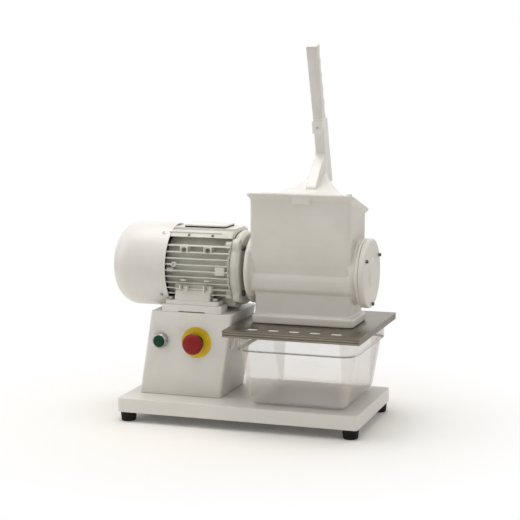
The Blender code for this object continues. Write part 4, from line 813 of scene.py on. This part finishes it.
# The wall's profile: a level, mm above it, mm outwards from the tapered side
containerLook = {
    "taper": 0.018, "rim": 0.006, "corner": 0.032, "leastCorner": 0.004, "height": 0.1065,
    "outside": (("floor", 0.0, -20.0), ("floor", 0.4, -14.5), ("floor", 1.4, -9.8), ("floor", 3.5, -5.2),
                ("floor", 6.5, -2.4), ("floor", 10.0, -0.7), ("floor", 14.5, 0.0), ("ledge", -30.0, 0.0),
                ("ledge", -3.6, 0.0), ("ledge", -2.6, 0.6), ("ledge", -1.2, 3.4), ("ledge", -0.6, 5.2),
                ("ledge", 0.6, 6.0), ("ledge", 2.2, 6.0), ("top", -4.0, 5.8), ("top", -3.4, 6.0),
                ("top", -0.6, 6.0), ("top", 0.0, 5.4)),
    "inside": (("top", 0.0, 3.6), ("top", -0.5, 3.2), ("ledge", 4.2, 3.0), ("ledge", 2.0, 2.2),
               ("ledge", 0.8, 0.2), ("ledge", -0.4, -2.0), ("ledge", -3.0, -2.8), ("floor", 15.0, -2.8),
               ("floor", 10.8, -3.6), ("floor", 7.8, -5.8), ("floor", 5.2, -9.0), ("floor", 3.6, -14.0),
               ("floor", 3.0, -20.0)),
    "ticks": 9, "tickStart": 0.020, "tickPitch": 0.008, "tickInset": 0.062, "tickLengths": (0.012, 0.007),
    "tickProud": 0.0006, "tickTall": 0.0009, "tickRound": 0.0003,
}


def makeContainer():
    look = containerLook
    low, high = corners("container")
    places = {"floor": low.z, "ledge": low.z + look["height"], "top": high.z}

    def sideInset(height):
        return look["rim"] + look["taper"] * (1 - min((height - low.z) / look["height"], 1.0))

    bm = bmesh.new()
    rings = []
    for height, out in sectionOf(look["outside"] + look["inside"], places):
        inset = sideInset(height) - out
        corner = max(look["corner"] - inset, look["leastCorner"])
        outline = roundedRect(low.x + inset, high.x - inset, low.y + inset, high.y - inset, corner, 12)
        rings.append([(x, y, height) for x, y in outline])
    loftMesh(bm, rings)
    # Plain moulded ticks on the right side, towards its front and its back
    for index in range(look["ticks"]):
        height = low.z + look["tickStart"] + index * look["tickPitch"]
        x = high.x - sideInset(height)
        for y in (low.y + look["tickInset"], high.y - look["tickInset"]):
            blockMesh(bm, (x - look["tickProud"], y, height),
                      (x + look["tickProud"], y + look["tickLengths"][index % 2], height + look["tickTall"]),
                      look["tickRound"])
    standFor(makeObject("clearBox", bm, "clearPlastic", 50.0), "container")


# The handle leans forward; its line runs through the middle of the grip's top
gripLow, gripHigh = corners("lever_grip")
leverLow, leverHigh = corners("press_lever")
pinLow, pinHigh = corners("hinge_pin")
leverMiddle = (gripLow.x + gripHigh.x) / 2
pinY, pinZ = (pinLow.y + pinHigh.y) / 2, (pinLow.z + pinHigh.z) / 2
handleLook = {"lean": 0.32, "topY": 0.0208, "topDrop": 0.0035}


def handleY(height):
    return handleLook["topY"] + handleLook["lean"] * (gripHigh.z - handleLook["topDrop"] - height)


gripLook = {"pitch": 0.0270, "bottom": 0.0088, "top": 0.0110, "front": 0.0108, "backLow": 0.0215,
            "backHigh": 0.0100, "ridge": 0.0046, "ridgePower": 0.6, "ridgeFade": 6, "corner": 0.0016,
            "round": 0.0048, "arc": 7, "seam": 0.0013, "seamAt": -0.0070, "seamEdge": 0.0005,
            "seamWide": 0.0012, "seamFar": 0.0018, "proud": 0.0002, "closeFrom": 0.982, "close": 0.13,
            "tiltIn": 5, "steps": 112}


def makeGrip():
    look = gripLook
    low = gripLow.z
    length = gripHigh.z - handleLook["topDrop"] - low
    front, corner, radius, seam = -look["front"], look["corner"], look["round"], look["seamAt"]
    rings = []
    for index in range(look["steps"] + 1):
        t = index / look["steps"]
        height = low + length * t
        close = 1.0 - look["close"] * max(0.0, (t - look["closeFrom"]) / (1.0 - look["closeFrom"])) ** 2
        half = (look["bottom"] + (look["top"] - look["bottom"]) * t) * close
        # fingers' hollows along the back
        wave = abs(math.cos(math.pi * length * t / look["pitch"])) ** look["ridgePower"]
        back = look["backLow"] + (look["backHigh"] - look["backLow"]) * t
        back = (back - look["ridge"] * wave * min(1.0, look["ridgeFade"] * (1 - t))) * close
        tilt = handleLook["lean"] * min(1.0, look["tiltIn"] * t)
        # flat front with crisp corners, a seam along each side
        inner, rear = half - look["seam"], half - look["proud"]
        side = [(half - corner, front), (half - corner * 0.3, front + corner * 0.3), (half, front + corner),
                (half, seam - look["seamEdge"]), (inner, seam), (inner, seam + look["seamWide"]),
                (rear, seam + look["seamFar"])]
        for part in range(look["arc"] + 1):
            turn = math.pi / 2 * part / look["arc"]
            side.append((rear - radius + radius * math.cos(turn), back - radius + radius * math.sin(turn)))
        outline = side + [(-a, b) for a, b in reversed(side)]
        rings.append([(leverMiddle + a, handleY(height) + b, height + tilt * b) for a, b in outline])
    bm = bmesh.new()
    loftMesh(bm, rings)
    standFor(makeObject("handGrip", bm, "gripPlastic", 42.0), "lever_grip")


# Spine, gusset and strap are outlines: a place on the lever, then mm towards the back and up from it
leverLook = {
    "stem": 0.0095, "depth": 0.0130, "back": 0.0125, "top": 0.5750, "shoulder": 0.5035, "stemRound": 0.0028,
    "plate": 0.008, "plateRound": 0.004, "drop": 0.0045, "slope": 0.29, "backEdge": 0.027,
    "backReach": 0.052, "backEarly": 0.6, "backSteep": 2.25, "backLate": 3.0, "flare": 2.3, "rise": 2.4,
    "tentSteps": 16, "overlap": 0.001, "underCollar": 0.002, "footUp": 0.034,
    "spine": (("foot", -4.0, 0.0), ("frame", 134.0, 449.0), ("frame", 115.5, 501.0),
              ("frame", 103.0, 540.0), ("frame", 93.0, 575.0), ("top", -4.0, 0.0)),
    "gusset": (("pin", -7.2, 14.0), ("pin", -6.0, 0.0), ("pin", 9.0, 0.0), ("pin", 18.0, 19.0),
               ("foot", 10.0, -2.0), ("foot", 16.0, 24.0), ("shoulder", 0.0, -6.0), ("edge", 7.0, 30.0),
               ("edge", 3.0, 12.0)),
    "strap": (("shoulder", -13.2, 10.0), ("frame", 72.8, 503.5), ("frame", 41.0, 476.5),
              ("frame", 12.0, 449.2), ("frame", 9.0, 445.0), ("frame", 9.0, 434.0), ("frame", 24.0, 430.0),
              ("frame", 90.0, 490.0)),
    "spineHalf": 0.0088, "gussetHalf": 0.0105, "strapHalf": 0.0098, "edgeRound": 0.003, "barrel": 0.0105,
    "barrelHalf": 0.040, "barrelRound": 0.0006, "bore": 0.0044, "voxel": 0.0008, "rounds": 5, "factor": 0.5,
}
# Clamp collar, wider on one side: "levels" is an edge, mm from it and mm of growth
collarLook = {"low": 0.5445, "high": 0.5685, "left": -0.0122, "right": 0.0097, "proud": 0.0012,
              "back": 0.0030, "round": 0.0030, "screwX": -0.0010, "screwZ": 0.5565, "screwProud": 0.0014,
              "levels": (("low", 0.0, -0.6), ("low", 0.8, 0.0), ("high", -0.8, 0.0), ("high", 0.0, -0.6))}


def leverBlanks():
    look = leverLook
    side, front = (leverHigh.x - leverLow.x) / 2, leverLow.y
    shoulder, backEdge, depth, foot = look["shoulder"], look["backEdge"], look["depth"], pinZ + look["footUp"]

    def under(y):
        return pinZ - look["drop"] + (backEdge - y) * look["slope"]

    def crossing(half, lowY, highY, height, radius):
        outline = roundedRect(leverMiddle - half, leverMiddle + half, lowY, highY, radius, 5)
        return [(x, y, height(y)) for x, y in outline]

    def blank(rings):
        bm = bmesh.new()
        loftMesh(bm, rings)
        return makeObject("leverBlank", bm, "leverPaint", None)

    places = {"pin": (pinY, pinZ), "foot": (handleY(foot), foot), "shoulder": (handleY(shoulder), shoulder),
              "top": (handleY(look["top"]), look["top"]), "edge": (backEdge, under(backEdge)),
              "frame": (0.0, 0.0)}

    def slab(points, half, rounding):
        outline = [(places[place][0] + y * mm, places[place][1] + z * mm) for place, y, z in points]
        if rounding:
            outline = roundedLine(outline, rounding)
        return blank([[(leverMiddle + x, y, z) for y, z in outline] for x in (-half, half)])

    # Presser plate drawn up into a tent that ends in the stem
    rings = [crossing(side, front, backEdge, under, look["plateRound"])]
    stemFront = handleY(shoulder) - depth
    reach = handleY(shoulder) + depth - backEdge
    for index in range(look["tentSteps"] + 1):
        s = index / look["tentSteps"]
        half = look["stem"] + (side - look["stem"]) * (1 - s) ** look["flare"]
        lowY = stemFront - (stemFront - front) * (1 - s) ** look["rise"]
        early = look["backReach"] * min(s ** look["backEarly"], look["backSteep"] * s)
        highY = backEdge + early + (reach - look["backReach"]) * s ** look["backLate"]

        def level(y, s=s):
            return under(y) + look["plate"] + (shoulder - under(y) - look["plate"]) * s

        rings.append(crossing(half, lowY, highY, level, look["plateRound"]))
    blanks = [blank(rings)]
    # Leaning stem, a deeper spine behind it, and a gusset from the hinge to the spine and the tent
    rings = []
    for z in (shoulder + look["overlap"], collarLook["low"] - look["underCollar"], look["top"]):
        rings.append(crossing(look["stem"], handleY(z) - depth, handleY(z) + look["back"], lambda y, z=z: z,
                              look["stemRound"]))
    blanks.append(blank(rings))
    blanks.append(slab(look["spine"], look["spineHalf"], look["edgeRound"]))
    blanks.append(slab(look["gusset"], look["gussetHalf"], None))
    bm = bmesh.new()
    half = look["barrelHalf"]
    ringMesh(bm, (leverMiddle - half, leverMiddle + half), (look["bore"], look["barrel"]), (pinY, pinZ), "x",
             48, look["barrelRound"])
    blanks.append(makeObject("leverBlank", bm, "leverPaint", None))
    # Strap that runs from the stem down to the front of the presser
    blanks.append(slab(look["strap"], look["strapHalf"], look["edgeRound"]))
    return blanks


def makeLever():
    lever = pour(join("leverCasting", leverBlanks(), "leverPaint", None), leverLook)
    look, depth = collarLook, leverLook["depth"]
    rings = []
    for z, growBy in sectionOf(look["levels"], look):
        outline = roundedRect(look["left"] - growBy, look["right"] + growBy, -depth - look["proud"] - growBy,
                              look["back"], look["round"])
        rings.append([(leverMiddle + a, handleY(z) + b, z) for a, b in outline])
    bm = bmesh.new()
    loftMesh(bm, rings)
    collar = makeObject("leverCollar", bm, "leverPaint", 40.0)
    standFor(join("leverCasting", [lever, collar], "leverPaint", 55.0), "press_lever")
    z = look["screwZ"]
    spot = (leverMiddle + look["screwX"], handleY(z) - depth - look["screwProud"], z)
    scatterPieces("collarScrew", collarScrewLook, [spot], facingFront, 17, body="lever")


# Round pieces are turned from a section: side of the node's box, mm from it, mm of radius
turnedPieces = {
    "roundCover": {
        "node": "end_cover", "finish": "enamelPaint", "axis": 0, "segments": 112, "soft": (0.0007, 3),
        "section": (("high", 0.0, 0.0), ("high", 0.0, 25.5), ("high", -0.8, 26.8), ("high", -3.0, 29.2),
                    ("high", -3.0, "rim", -3.5), ("high", -4.2, "rim", -1.2), ("high", -6.5, "rim", 0.0),
                    ("high", -13.6, "rim", 0.0), ("high", -14.2, "rim", -0.6), ("high", -14.2, 44.0),
                    ("high", -19.2, 43.6), ("high", -19.2, 25.5), ("low", 0.0, 23.5), ("low", 0.0, 17.5),
                    ("high", -15.2, 17.5), ("high", -15.2, 0.0))},
    "startRing": {
        "node": "start_bezel", "finish": "chromedRing", "axis": 1, "segments": 72, "soft": (0.0005, 3),
        "section": (("high", -20.0, 14.8), ("low", 4.5, 14.6), ("low", 3.8, 13.8), ("low", 1.0, 13.4),
                    ("low", 0.0, 12.4), ("low", 0.0, 11.4), ("high", -23.0, 11.2), ("high", -23.0, 8.0),
                    ("high", 0.0, 8.0), ("high", 0.0, 10.6), ("high", -20.0, 10.6))},
    "startButton": {
        "node": "start_cap", "finish": "greenPlastic", "axis": 1, "segments": 64, "soft": (0.0005, 3),
        "section": (("low", 0.3, 0.0), ("low", 0.0, 7.0), ("low", 0.4, 9.6), ("low", 1.6, 10.8),
                    ("low", 7.4, 10.8), ("low", 7.4, 6.4), ("high", 0.0, 6.4), ("high", 0.0, 0.0))},
    "stopDisc": {
        "node": "stop_label", "finish": "yellowPlastic", "axis": 1, "segments": 96, "soft": (0.00015, 2),
        "section": (("high", 0.0, 11.2), ("high", 0.0, 29.9), ("high", -0.6, 30.0), ("low", 0.2, 29.7),
                    ("low", 0.0, 29.0), ("low", 0.3, 28.3), ("low", 0.3, 11.2))},
    "stopCollar": {
        "node": "stop_collar", "finish": "greenPlastic", "axis": 1, "segments": 64, "soft": (0.0005, 3),
        "section": (("high", -21.3, 14.8), ("high", -25.5, 14.7), ("high", -26.1, 13.9), ("low", 0.6, 12.9),
                    ("low", 0.0, 12.2), ("low", 0.0, 7.1), ("high", 0.0, 7.1), ("high", 0.0, 10.6),
                    ("high", -21.3, 10.6))},
    "stopMushroom": {
        "node": "stop_mushroom", "finish": "redPlastic", "axis": 1, "segments": 96, "soft": (0.0006, 2),
        "section": (("low", 0.0, 0.0), ("low", 0.2, 6.0), ("low", 0.9, 11.2), ("low", 2.4, 15.8),
                    ("low", 4.6, 18.7), ("low", 7.0, 19.9), ("low", 9.2, 20.0), ("low", 10.8, 19.6),
                    ("low", 11.9, 18.4), ("low", 12.0, 15.0), ("low", 10.4, 12.0), ("low", 10.4, 6.6),
                    ("high", 0.0, 6.4), ("high", 0.0, 0.0)), "smooth": 60.0},
}
for number in range(1, 5):
    turnedPieces[f"rubberFoot{number}"] = {
        "node": f"rubber_foot_{number}", "finish": "blackRubber", "axis": 2, "segments": 64,
        "soft": (0.0006, 3),
        "section": (("low", 6.0, 0.0), ("low", 6.0, 6.0), ("low", 0.0, 6.3), ("low", 0.0, 12.8),
                    ("low", 1.4, 14.0), ("low", 5.0, 14.4), ("low", 11.2, 15.0), ("low", 11.8, 14.6),
                    ("low", 12.6, 15.0), ("high", -0.8, 15.5), ("high", 0.0, 15.0), ("high", 0.0, 0.0))}


def makeTurned(name):
    look = turnedPieces[name]
    low, high = corners(look["node"])
    axis = look["axis"]
    across = [other for other in range(3) if other != axis]
    rim = (high - low)[across[-1]] / 2
    section = sectionOf(look["section"], {"low": low[axis], "high": high[axis], "rim": rim})
    middle = [(low[other] + high[other]) / 2 for other in across]
    bm = bmesh.new()
    line = roundedLine(section, *look["soft"], section[0][1] > 0.0)
    turnedMesh(bm, line, middle, "xyz"[axis], look["segments"])
    standFor(makeObject(name, bm, look["finish"], look.get("smooth", 38.0)), look["node"])


# Sheet and bar pieces keep their node's shape and get soft bent edges
softEdges = {
    "standBox": {"node": "motor_stand", "width": 0.0009, "finish": "panelPaint"},
    "barFront": {"node": "mounting_bar_front", "width": 0.0009, "finish": "panelPaint"},
    "barRear": {"node": "mounting_bar_rear", "width": 0.0009, "finish": "panelPaint"},
    "shelfSheet": {"node": "shelf_plate", "width": 0.0006, "finish": "brushedSheet"},
    "armFront": {"node": "shelf_arm_front", "width": 0.0006, "finish": "panelPaint"},
    "armRear": {"node": "shelf_arm_rear", "width": 0.0006, "finish": "panelPaint"},
    "terminalPlate": {"node": "terminal_cover", "width": 0.0006, "finish": "leverPaint"},
}


edgeLook = {"merge": 1e-5, "flat": 0.6, "segments": 2, "sharp": 40.0, "smooth": 32.0}


def softEdged(name, look):
    bm = bmesh.new()
    bm.from_mesh(nodes[look["node"]].data)
    bmesh.ops.remove_doubles(bm, verts=bm.verts[:], dist=edgeLook["merge"])
    bmesh.ops.dissolve_limit(bm, angle_limit=math.radians(edgeLook["flat"]), verts=bm.verts[:],
                             edges=bm.edges[:])
    thing = makeObject(name, bm, look["finish"], None)
    edge = thing.modifiers.new("edges", "BEVEL")
    edge.width = look["width"]
    edge.segments = edgeLook["segments"]
    edge.limit_method = "ANGLE"
    edge.angle_limit = math.radians(edgeLook["sharp"])
    edge.use_clamp_overlap = True
    edge.harden_normals = False
    return bake(thing, edgeLook["smooth"])


hemLook = {"grooves": ((0.0030, 0.0048), (0.0078, 0.0092)), "step": 0.0002, "deep": 0.0014, "near": 0.001}


def foldHem(thing):
    # Presses grooves round the lips, as a folded hem shows
    look = hemLook
    bm = bmesh.new()
    bm.from_mesh(thing.data)
    low, high = corners("shelf_plate")
    for start, end in look["grooves"]:
        bottom, top = low.z + start, low.z + end
        for level in (bottom, bottom + look["step"], top - look["step"], top):
            everything = bm.verts[:] + bm.edges[:] + bm.faces[:]
            bmesh.ops.bisect_plane(bm, geom=everything, plane_co=(0.0, 0.0, level), plane_no=(0.0, 0.0, 1.0))
        for vert in bm.verts:
            if not bottom + look["step"] / 2 < vert.co.z < top - look["step"] / 2:
                continue
            for axis in (0, 1):
                if vert.co[axis] < low[axis] + look["near"]:
                    vert.co[axis] += look["deep"]
                elif vert.co[axis] > high[axis] - look["near"]:
                    vert.co[axis] -= look["deep"]
    bm.to_mesh(thing.data)
    bm.free()
    thing.data.update()


def makeSheets():
    for name, look in softEdges.items():
        piece = softEdged(name, look)
        if name == "shelfSheet":
            foldHem(piece)
        standFor(piece, look["node"])


rimLook = {"tabLeft": 0.1084, "tabRight": 0.1430, "tabLow": 0.4228, "tabHigh": 0.4362, "proud": 0.0006,
           "tabDeep": 0.006, "tabRound": 0.0009, "bead": 0.0055, "beadIn": 0.0062, "beadUp": 0.0040,
           "beadDown": 0.0040, "beadRound": 0.0034}


def makeRimPieces():
    # Plain tab under the rim's front and a rounded bead on its right corner
    look = rimLook
    hopper = [vert.co for vert in nodes["grater_body"].data.vertices]
    front = min(spot.y for spot in hopper
                if look["tabLeft"] < spot.x < look["tabRight"] and look["tabLow"] < spot.z < look["tabHigh"])
    bm = bmesh.new()
    blockMesh(bm, (look["tabLeft"], front - look["proud"], look["tabLow"]),
              (look["tabRight"], front + look["tabDeep"], look["tabHigh"]), look["tabRound"])
    corner = max((spot for spot in hopper if spot.z > look["tabHigh"]), key=lambda spot: spot.x - spot.y)
    ringMesh(bm, (corner.z - look["beadDown"], corner.z + look["beadUp"]), (0.0, look["bead"]),
             (corner.x - look["beadIn"], corner.y + look["beadIn"]), "z", 32, look["beadRound"], 5)
    addTo(makeObject("rimPieces", bm, "enamelPaint"), "frame", "white_enamel")
    print("stage: rim tab front", round(front, 4), "corner", [round(value, 4) for value in corner])


# Blocks are x from the lug or the right end, y from the fins' tips, the front or nought,
# z from the axis, then the rounding, all in mm
caseLook = {
    "node": "motor_housing", "width": 0.00045, "finish": "motorPaint", "lugs": (-0.089, -0.041),
    "finTip": -0.078,
    "posts": ((-8.0, -5.6, 6.0, 13.0, 32.2, 46.2, 0.6), (5.6, 8.0, 6.0, 13.0, 32.2, 46.2, 0.6)),
    "lowLug": ((-8.0, -5.6, 1.2, 18.0, -41.5, -28.5, 0.6), (5.6, 8.0, 1.2, 18.0, -41.5, -28.5, 0.6),
               (-6.8, 6.8, 11.0, 18.0, -41.5, -28.5, 0.6), (-5.5, 5.5, 0.5, 10.0, -20.0, -17.2, 0.8)),
    "ridges": ((-129.0, -21.5, -44.8, -41.8, 68.3, 69.7, 0.5),
               (-129.0, -21.5, -51.1, -48.1, 60.6, 62.0, 0.5)),
    "eyeArm": ((-124.5, -112.5, 2.0, 11.0, 9.2, 12.2, 0.6), (-123.5, -110.5, 3.0, 12.0, -3.5, 3.8, 1.2)),
    "plainBoss": ((-25.0, -6.5, 0.4, 16.0, -7.0, 9.0, 1.4), (-23.5, -8.0, 0.0, 3.0, -5.5, -4.3, 0.6),
                  (-23.5, -8.0, 0.0, 3.0, 6.3, 7.5, 0.6)),
    "eyeX": -0.1085, "eyeUp": 0.0105, "eyeDeep": 0.012, "eyeRadii": (0.0024, 0.0050), "eyeSink": 0.0030,
    "eyeRound": 0.0006,
    "endDeep": 0.0040, "endRadii": (0.050, 0.0700), "ringRound": 0.0008,
    # the seal's span and radii place a dark ring, painted shade inside the cowl's mouth
    "shadeRingSpan": (-0.0060, -0.0030), "shadeRingRadii": (0.0600, 0.0775),
    "ears": 4, "ear": 0.0090, "earCircle": 0.0655, "earSpan": (-0.0115, 0.0002), "earRound": 0.0016,
    "bossBoltIn": 0.0110, "bossBoltUp": -0.0345, "lugBoltIn": 0.0088, "lugBoltUp": 0.0392,
    "padX": (-0.087, -0.039), "padY": -0.0475, "padUp": 0.0640, "padTurn": 49.0,
}


def makeCaseDetails():
    # Lugs, eye, boss, end ring and bolt ears cast on the finned case
    look = caseLook
    right, front = housingHigh.x, housingLow.y
    bm = bmesh.new()

    def blocks(rows, x, y):
        for x0, x1, y0, y1, z0, z1, rounding in rows:
            blockMesh(bm, (x + x0 * mm, y + y0 * mm, axisHeight + z0 * mm),
                      (x + x1 * mm, y + y1 * mm, axisHeight + z1 * mm), rounding * mm)

    for offset in look["lugs"]:
        blocks(look["posts"], right + offset, look["finTip"])
        blocks(look["lowLug"], right + offset, front)
    blocks(look["ridges"], right, 0.0)
    blocks(look["eyeArm"] + look["plainBoss"], right, front)
    ringMesh(bm, (front, front + look["eyeDeep"]), look["eyeRadii"],
             (right + look["eyeX"], axisHeight + look["eyeUp"]), "y", 32, look["eyeRound"])
    ringMesh(bm, (right - look["endDeep"], right), look["endRadii"], shaftLine, "x", 96, look["ringRound"])
    for a, b in circle(look["ears"], look["earCircle"], math.pi / 4):
        ringMesh(bm, [right + part for part in look["earSpan"]], (0.0, look["ear"]), (a, axisHeight + b), "x",
                 40, look["earRound"], 3)
    return makeObject("caseDetails", bm, "motorPaint")


def makeCase():
    look = caseLook
    right, front = housingHigh.x, housingLow.y
    parts = [softEdged("finnedCase", look), makeCaseDetails()]
    standFor(join("finnedCase", parts, "motorPaint", 34.0), "motor_housing")
    # Dark ring in the mouth of the cowl, behind its edge: painted shade where the cowl shades the ends of the
    # fins
    bm = bmesh.new()
    ringMesh(bm, [cowlHigh.x + part for part in look["shadeRingSpan"]], look["shadeRingRadii"], shaftLine, "x", 96,
             look["ringRound"])
    addTo(makeObject("cowlSeal", bm, "blackRubber"), "frame", "black_rubber")
    # Bolts in the lugs, and dark discs in the eye and the slanted pad, painted shade of their holes
    for side, name in ((-1, "Front"), (1, "Rear")):
        places = [(right + offset, side * (-front - look["bossBoltIn"]), axisHeight + look["bossBoltUp"])
                  for offset in look["lugs"]]
        scatterPieces("bossBolts" + name, smallBoltLook, places, (-side * math.pi / 2, 0.0, 0.0), 11)
    places = [(right + offset, look["finTip"] + look["lugBoltIn"], axisHeight + look["lugBoltUp"])
              for offset in look["lugs"]]
    scatterPieces("lugBolts", lugBoltLook, places, facingFront, 19)
    eye = (right + look["eyeX"], front + look["eyeSink"], axisHeight + look["eyeUp"])
    scatterPieces("eyeHole", eyeHoleShadeLook, [eye], facingFront, 23)
    places = [(right + offset, look["padY"], axisHeight + look["padUp"]) for offset in look["padX"]]
    scatterPieces("padHoles", holeShadeLook, places, (math.radians(look["padTurn"]), 0.0, 0.0), 13)


# "levels" is mm under the insert's top and mm of growth
insertLook = {"setback": 0.0305, "length": 0.0194, "width": 0.0114, "count": 5, "pitch": 0.040,
              "sink": 0.0003, "round": 0.0018, "surface": 0.0001,
              "levels": (("top", -2.2, 0.6), ("top", -1.8, 0.0), ("top", -0.3, 0.0), ("top", 0.0, -0.4))}


def insertTree():
    # A row of inserts, one in each slot
    tree = Grower("rowOfInserts", {"Insert": "Object", "Count": "Int", "Start": "Vector", "Step": "Vector"})
    row = tree.add("GeometryNodeMeshLine", values={
        "Count": tree.size("Count"), "Start Location": tree.size("Start"), "Offset": tree.size("Step")})
    return tree.end(tree.copies(row, "Insert", (0.0, 0.0, 0.0)))


def makeShelfInserts():
    # Pale moulded inserts fill the shelf's slots
    look = insertLook
    low, high = corners("shelf_plate")
    half, wide = look["length"] / 2, look["width"] / 2
    rings = []
    for height, growBy in sectionOf(look["levels"], {"top": high.z - look["sink"]}):
        outline = roundedRect(-half - growBy, half + growBy, -wide - growBy, wide + growBy, look["round"], 4)
        rings.append([(a, b, height) for a, b in outline])
    bm = bmesh.new()
    loftMesh(bm, rings)
    insert = makeObject("slotInsert", bm, "gripPlastic")
    # the row is centred on the edges of the slots in the shelf's top
    line = low.y + look["setback"]
    near = [vert.co.x for vert in nodes["shelf_plate"].data.vertices
            if abs(vert.co.y - line) < look["width"] and vert.co.z > high.z - look["surface"]]
    middle = (min(near) + max(near)) / 2
    bm = bmesh.new()
    bm.verts.new((0.0, 0.0, 0.0))
    row = makeObject("slotInserts", bm, "gripPlastic", None)
    start = (middle - look["pitch"] * (look["count"] - 1) / 2, line, 0.0)
    grow(row, insertTree(), {"Insert": insert, "Count": look["count"], "Start": start,
                             "Step": (look["pitch"], 0.0, 0.0), "Finish": finishes["gripPlastic"]})
    bpy.data.objects.remove(insert, do_unlink=True)
    addTo(row, "frame", "white_plastic")


for name in castings:
    makeCasting(name)
makeFasteners()
makeShelfInserts()
makeCowl()
makeDrum()
makeContainer()
makeGrip()
makeLever()
for name in turnedPieces:
    makeTurned(name)
makeSheets()
makeCase()
makeRimPieces()
print("stage: pieces made")

# Floor, light and camera: away from the shadow the camera sees plain white
stageLook = {"floor": (0.93, 0.915, 0.89), "duller": 0.985, "noise": (3.0, 2.0, 0.5), "level": -0.0005,
             "glow": 0.04, "size": 8.0, "sky": 0.47, "near": 0.27, "far": 0.60,
             "lampTint": (1.0, 0.985, 0.955)}
white = (1.0, 1.0, 1.0, 1.0)
board = Board("paleFloor", Roughness=0.9, Specular_IOR_Level=0.2)
duller = tuple(stageLook["duller"] * part for part in stageLook["floor"])
board.feed("Base Color", board.blend(board.noise(*stageLook["noise"]), stageLook["floor"], duller))
bm = bmesh.new()
half = stageLook["size"] / 2
square = ((-half, -half), (half, -half), (half, half), (-half, half))
bm.faces.new([bm.verts.new((x, y, stageLook["level"])) for x, y in square])
floor = makeObject("floor", bm, "enamelPaint", None)
floor.data.materials.clear()
floor.data.materials.append(board.material)
matt = Link(board, board.shader.outputs[0])
glow = board.add("ShaderNodeEmission", values={"Color": white, "Strength": stageLook["glow"]})
both = board.add("ShaderNodeAddShader", values={0: matt, 1: glow})
here = board.add("ShaderNodeTexCoord", out="Object")
away = board.add("ShaderNodeVectorMath", {"operation": "LENGTH"}, {0: here}, "Value")
plain = board.add("ShaderNodeEmission", values={"Color": white, "Strength": 1.0})
fade = board.span(away, stageLook["near"], stageLook["far"])
faded = board.add("ShaderNodeMixShader", values={0: fade, 1: both, 2: plain})
seen = board.add("ShaderNodeLightPath", out="Is Camera Ray")
mixed = board.add("ShaderNodeMixShader", values={0: seen, 1: matt, 2: faded})
board.join(board.output.inputs["Surface"], mixed)

# Camera, glossy and transmitted rays see a white sky; the rest are lit by a dimmer one
world = bpy.data.worlds.new("studio")
bpy.context.scene.world = world
world.use_nodes = True
sky = Sheet(world.node_tree)
direct, glossy, through = (sky.add("ShaderNodeLightPath", out=f"Is {kind} Ray")
                           for kind in ("Camera", "Glossy", "Transmission"))
dim = sky.add("ShaderNodeBackground", values={
    "Color": (*stageLook["lampTint"], 1.0), "Strength": stageLook["sky"]})
bright = sky.add("ShaderNodeBackground", values={"Color": white, "Strength": 1.0})
pick = direct.maths("MAXIMUM", glossy).maths("MAXIMUM", through)
mixed = sky.add("ShaderNodeMixShader", values={0: pick, 1: dim, 2: bright})
sky.join(sky.tree.nodes["World Output"].inputs["Surface"], mixed)

lamps = {
    "overhead": {"at": (-0.15, 0.05, 2.3), "to": (0.0, 0.0, 0.3), "size": 1.6, "power": 29.0},
    "leftSoft": {"at": (-2.0, -0.7, 1.4), "to": (-0.1, 0.0, 0.3), "size": 1.4, "power": 8.0},
    "rightSoft": {"at": (1.9, 0.4, 1.2), "to": (0.1, 0.0, 0.3), "size": 1.2, "power": 2.5},
}
for name, look in lamps.items():
    data = bpy.data.lights.new(name, "AREA")
    data.shape = "SQUARE"
    data.size = look["size"]
    data.energy = look["power"]
    data.color = stageLook["lampTint"]
    lamp = bpy.data.objects.new(name, data)
    lamp.location = look["at"]
    lamp.rotation_euler = (Vector(look["to"]) - Vector(look["at"])).to_track_quat("-Z", "Y").to_euler()
    bpy.context.collection.objects.link(lamp)

cameraLook = {"at": (0.9027, -2.6522, 0.7030), "tilt": 81.898, "turn": 18.331, "lens": 102.08, "sensor": 36.0}
lens = bpy.data.cameras.new("camera")
lens.lens = cameraLook["lens"]
lens.sensor_width = cameraLook["sensor"]
lens.sensor_fit = "HORIZONTAL"
camera = bpy.data.objects.new("camera", lens)
camera.location = cameraLook["at"]
camera.rotation_euler = (math.radians(cameraLook["tilt"]), 0.0, math.radians(cameraLook["turn"]))
bpy.context.collection.objects.link(camera)
bpy.context.scene.camera = camera
bpy.context.scene.view_settings.view_transform = "Standard"
print("stage: light and camera set")
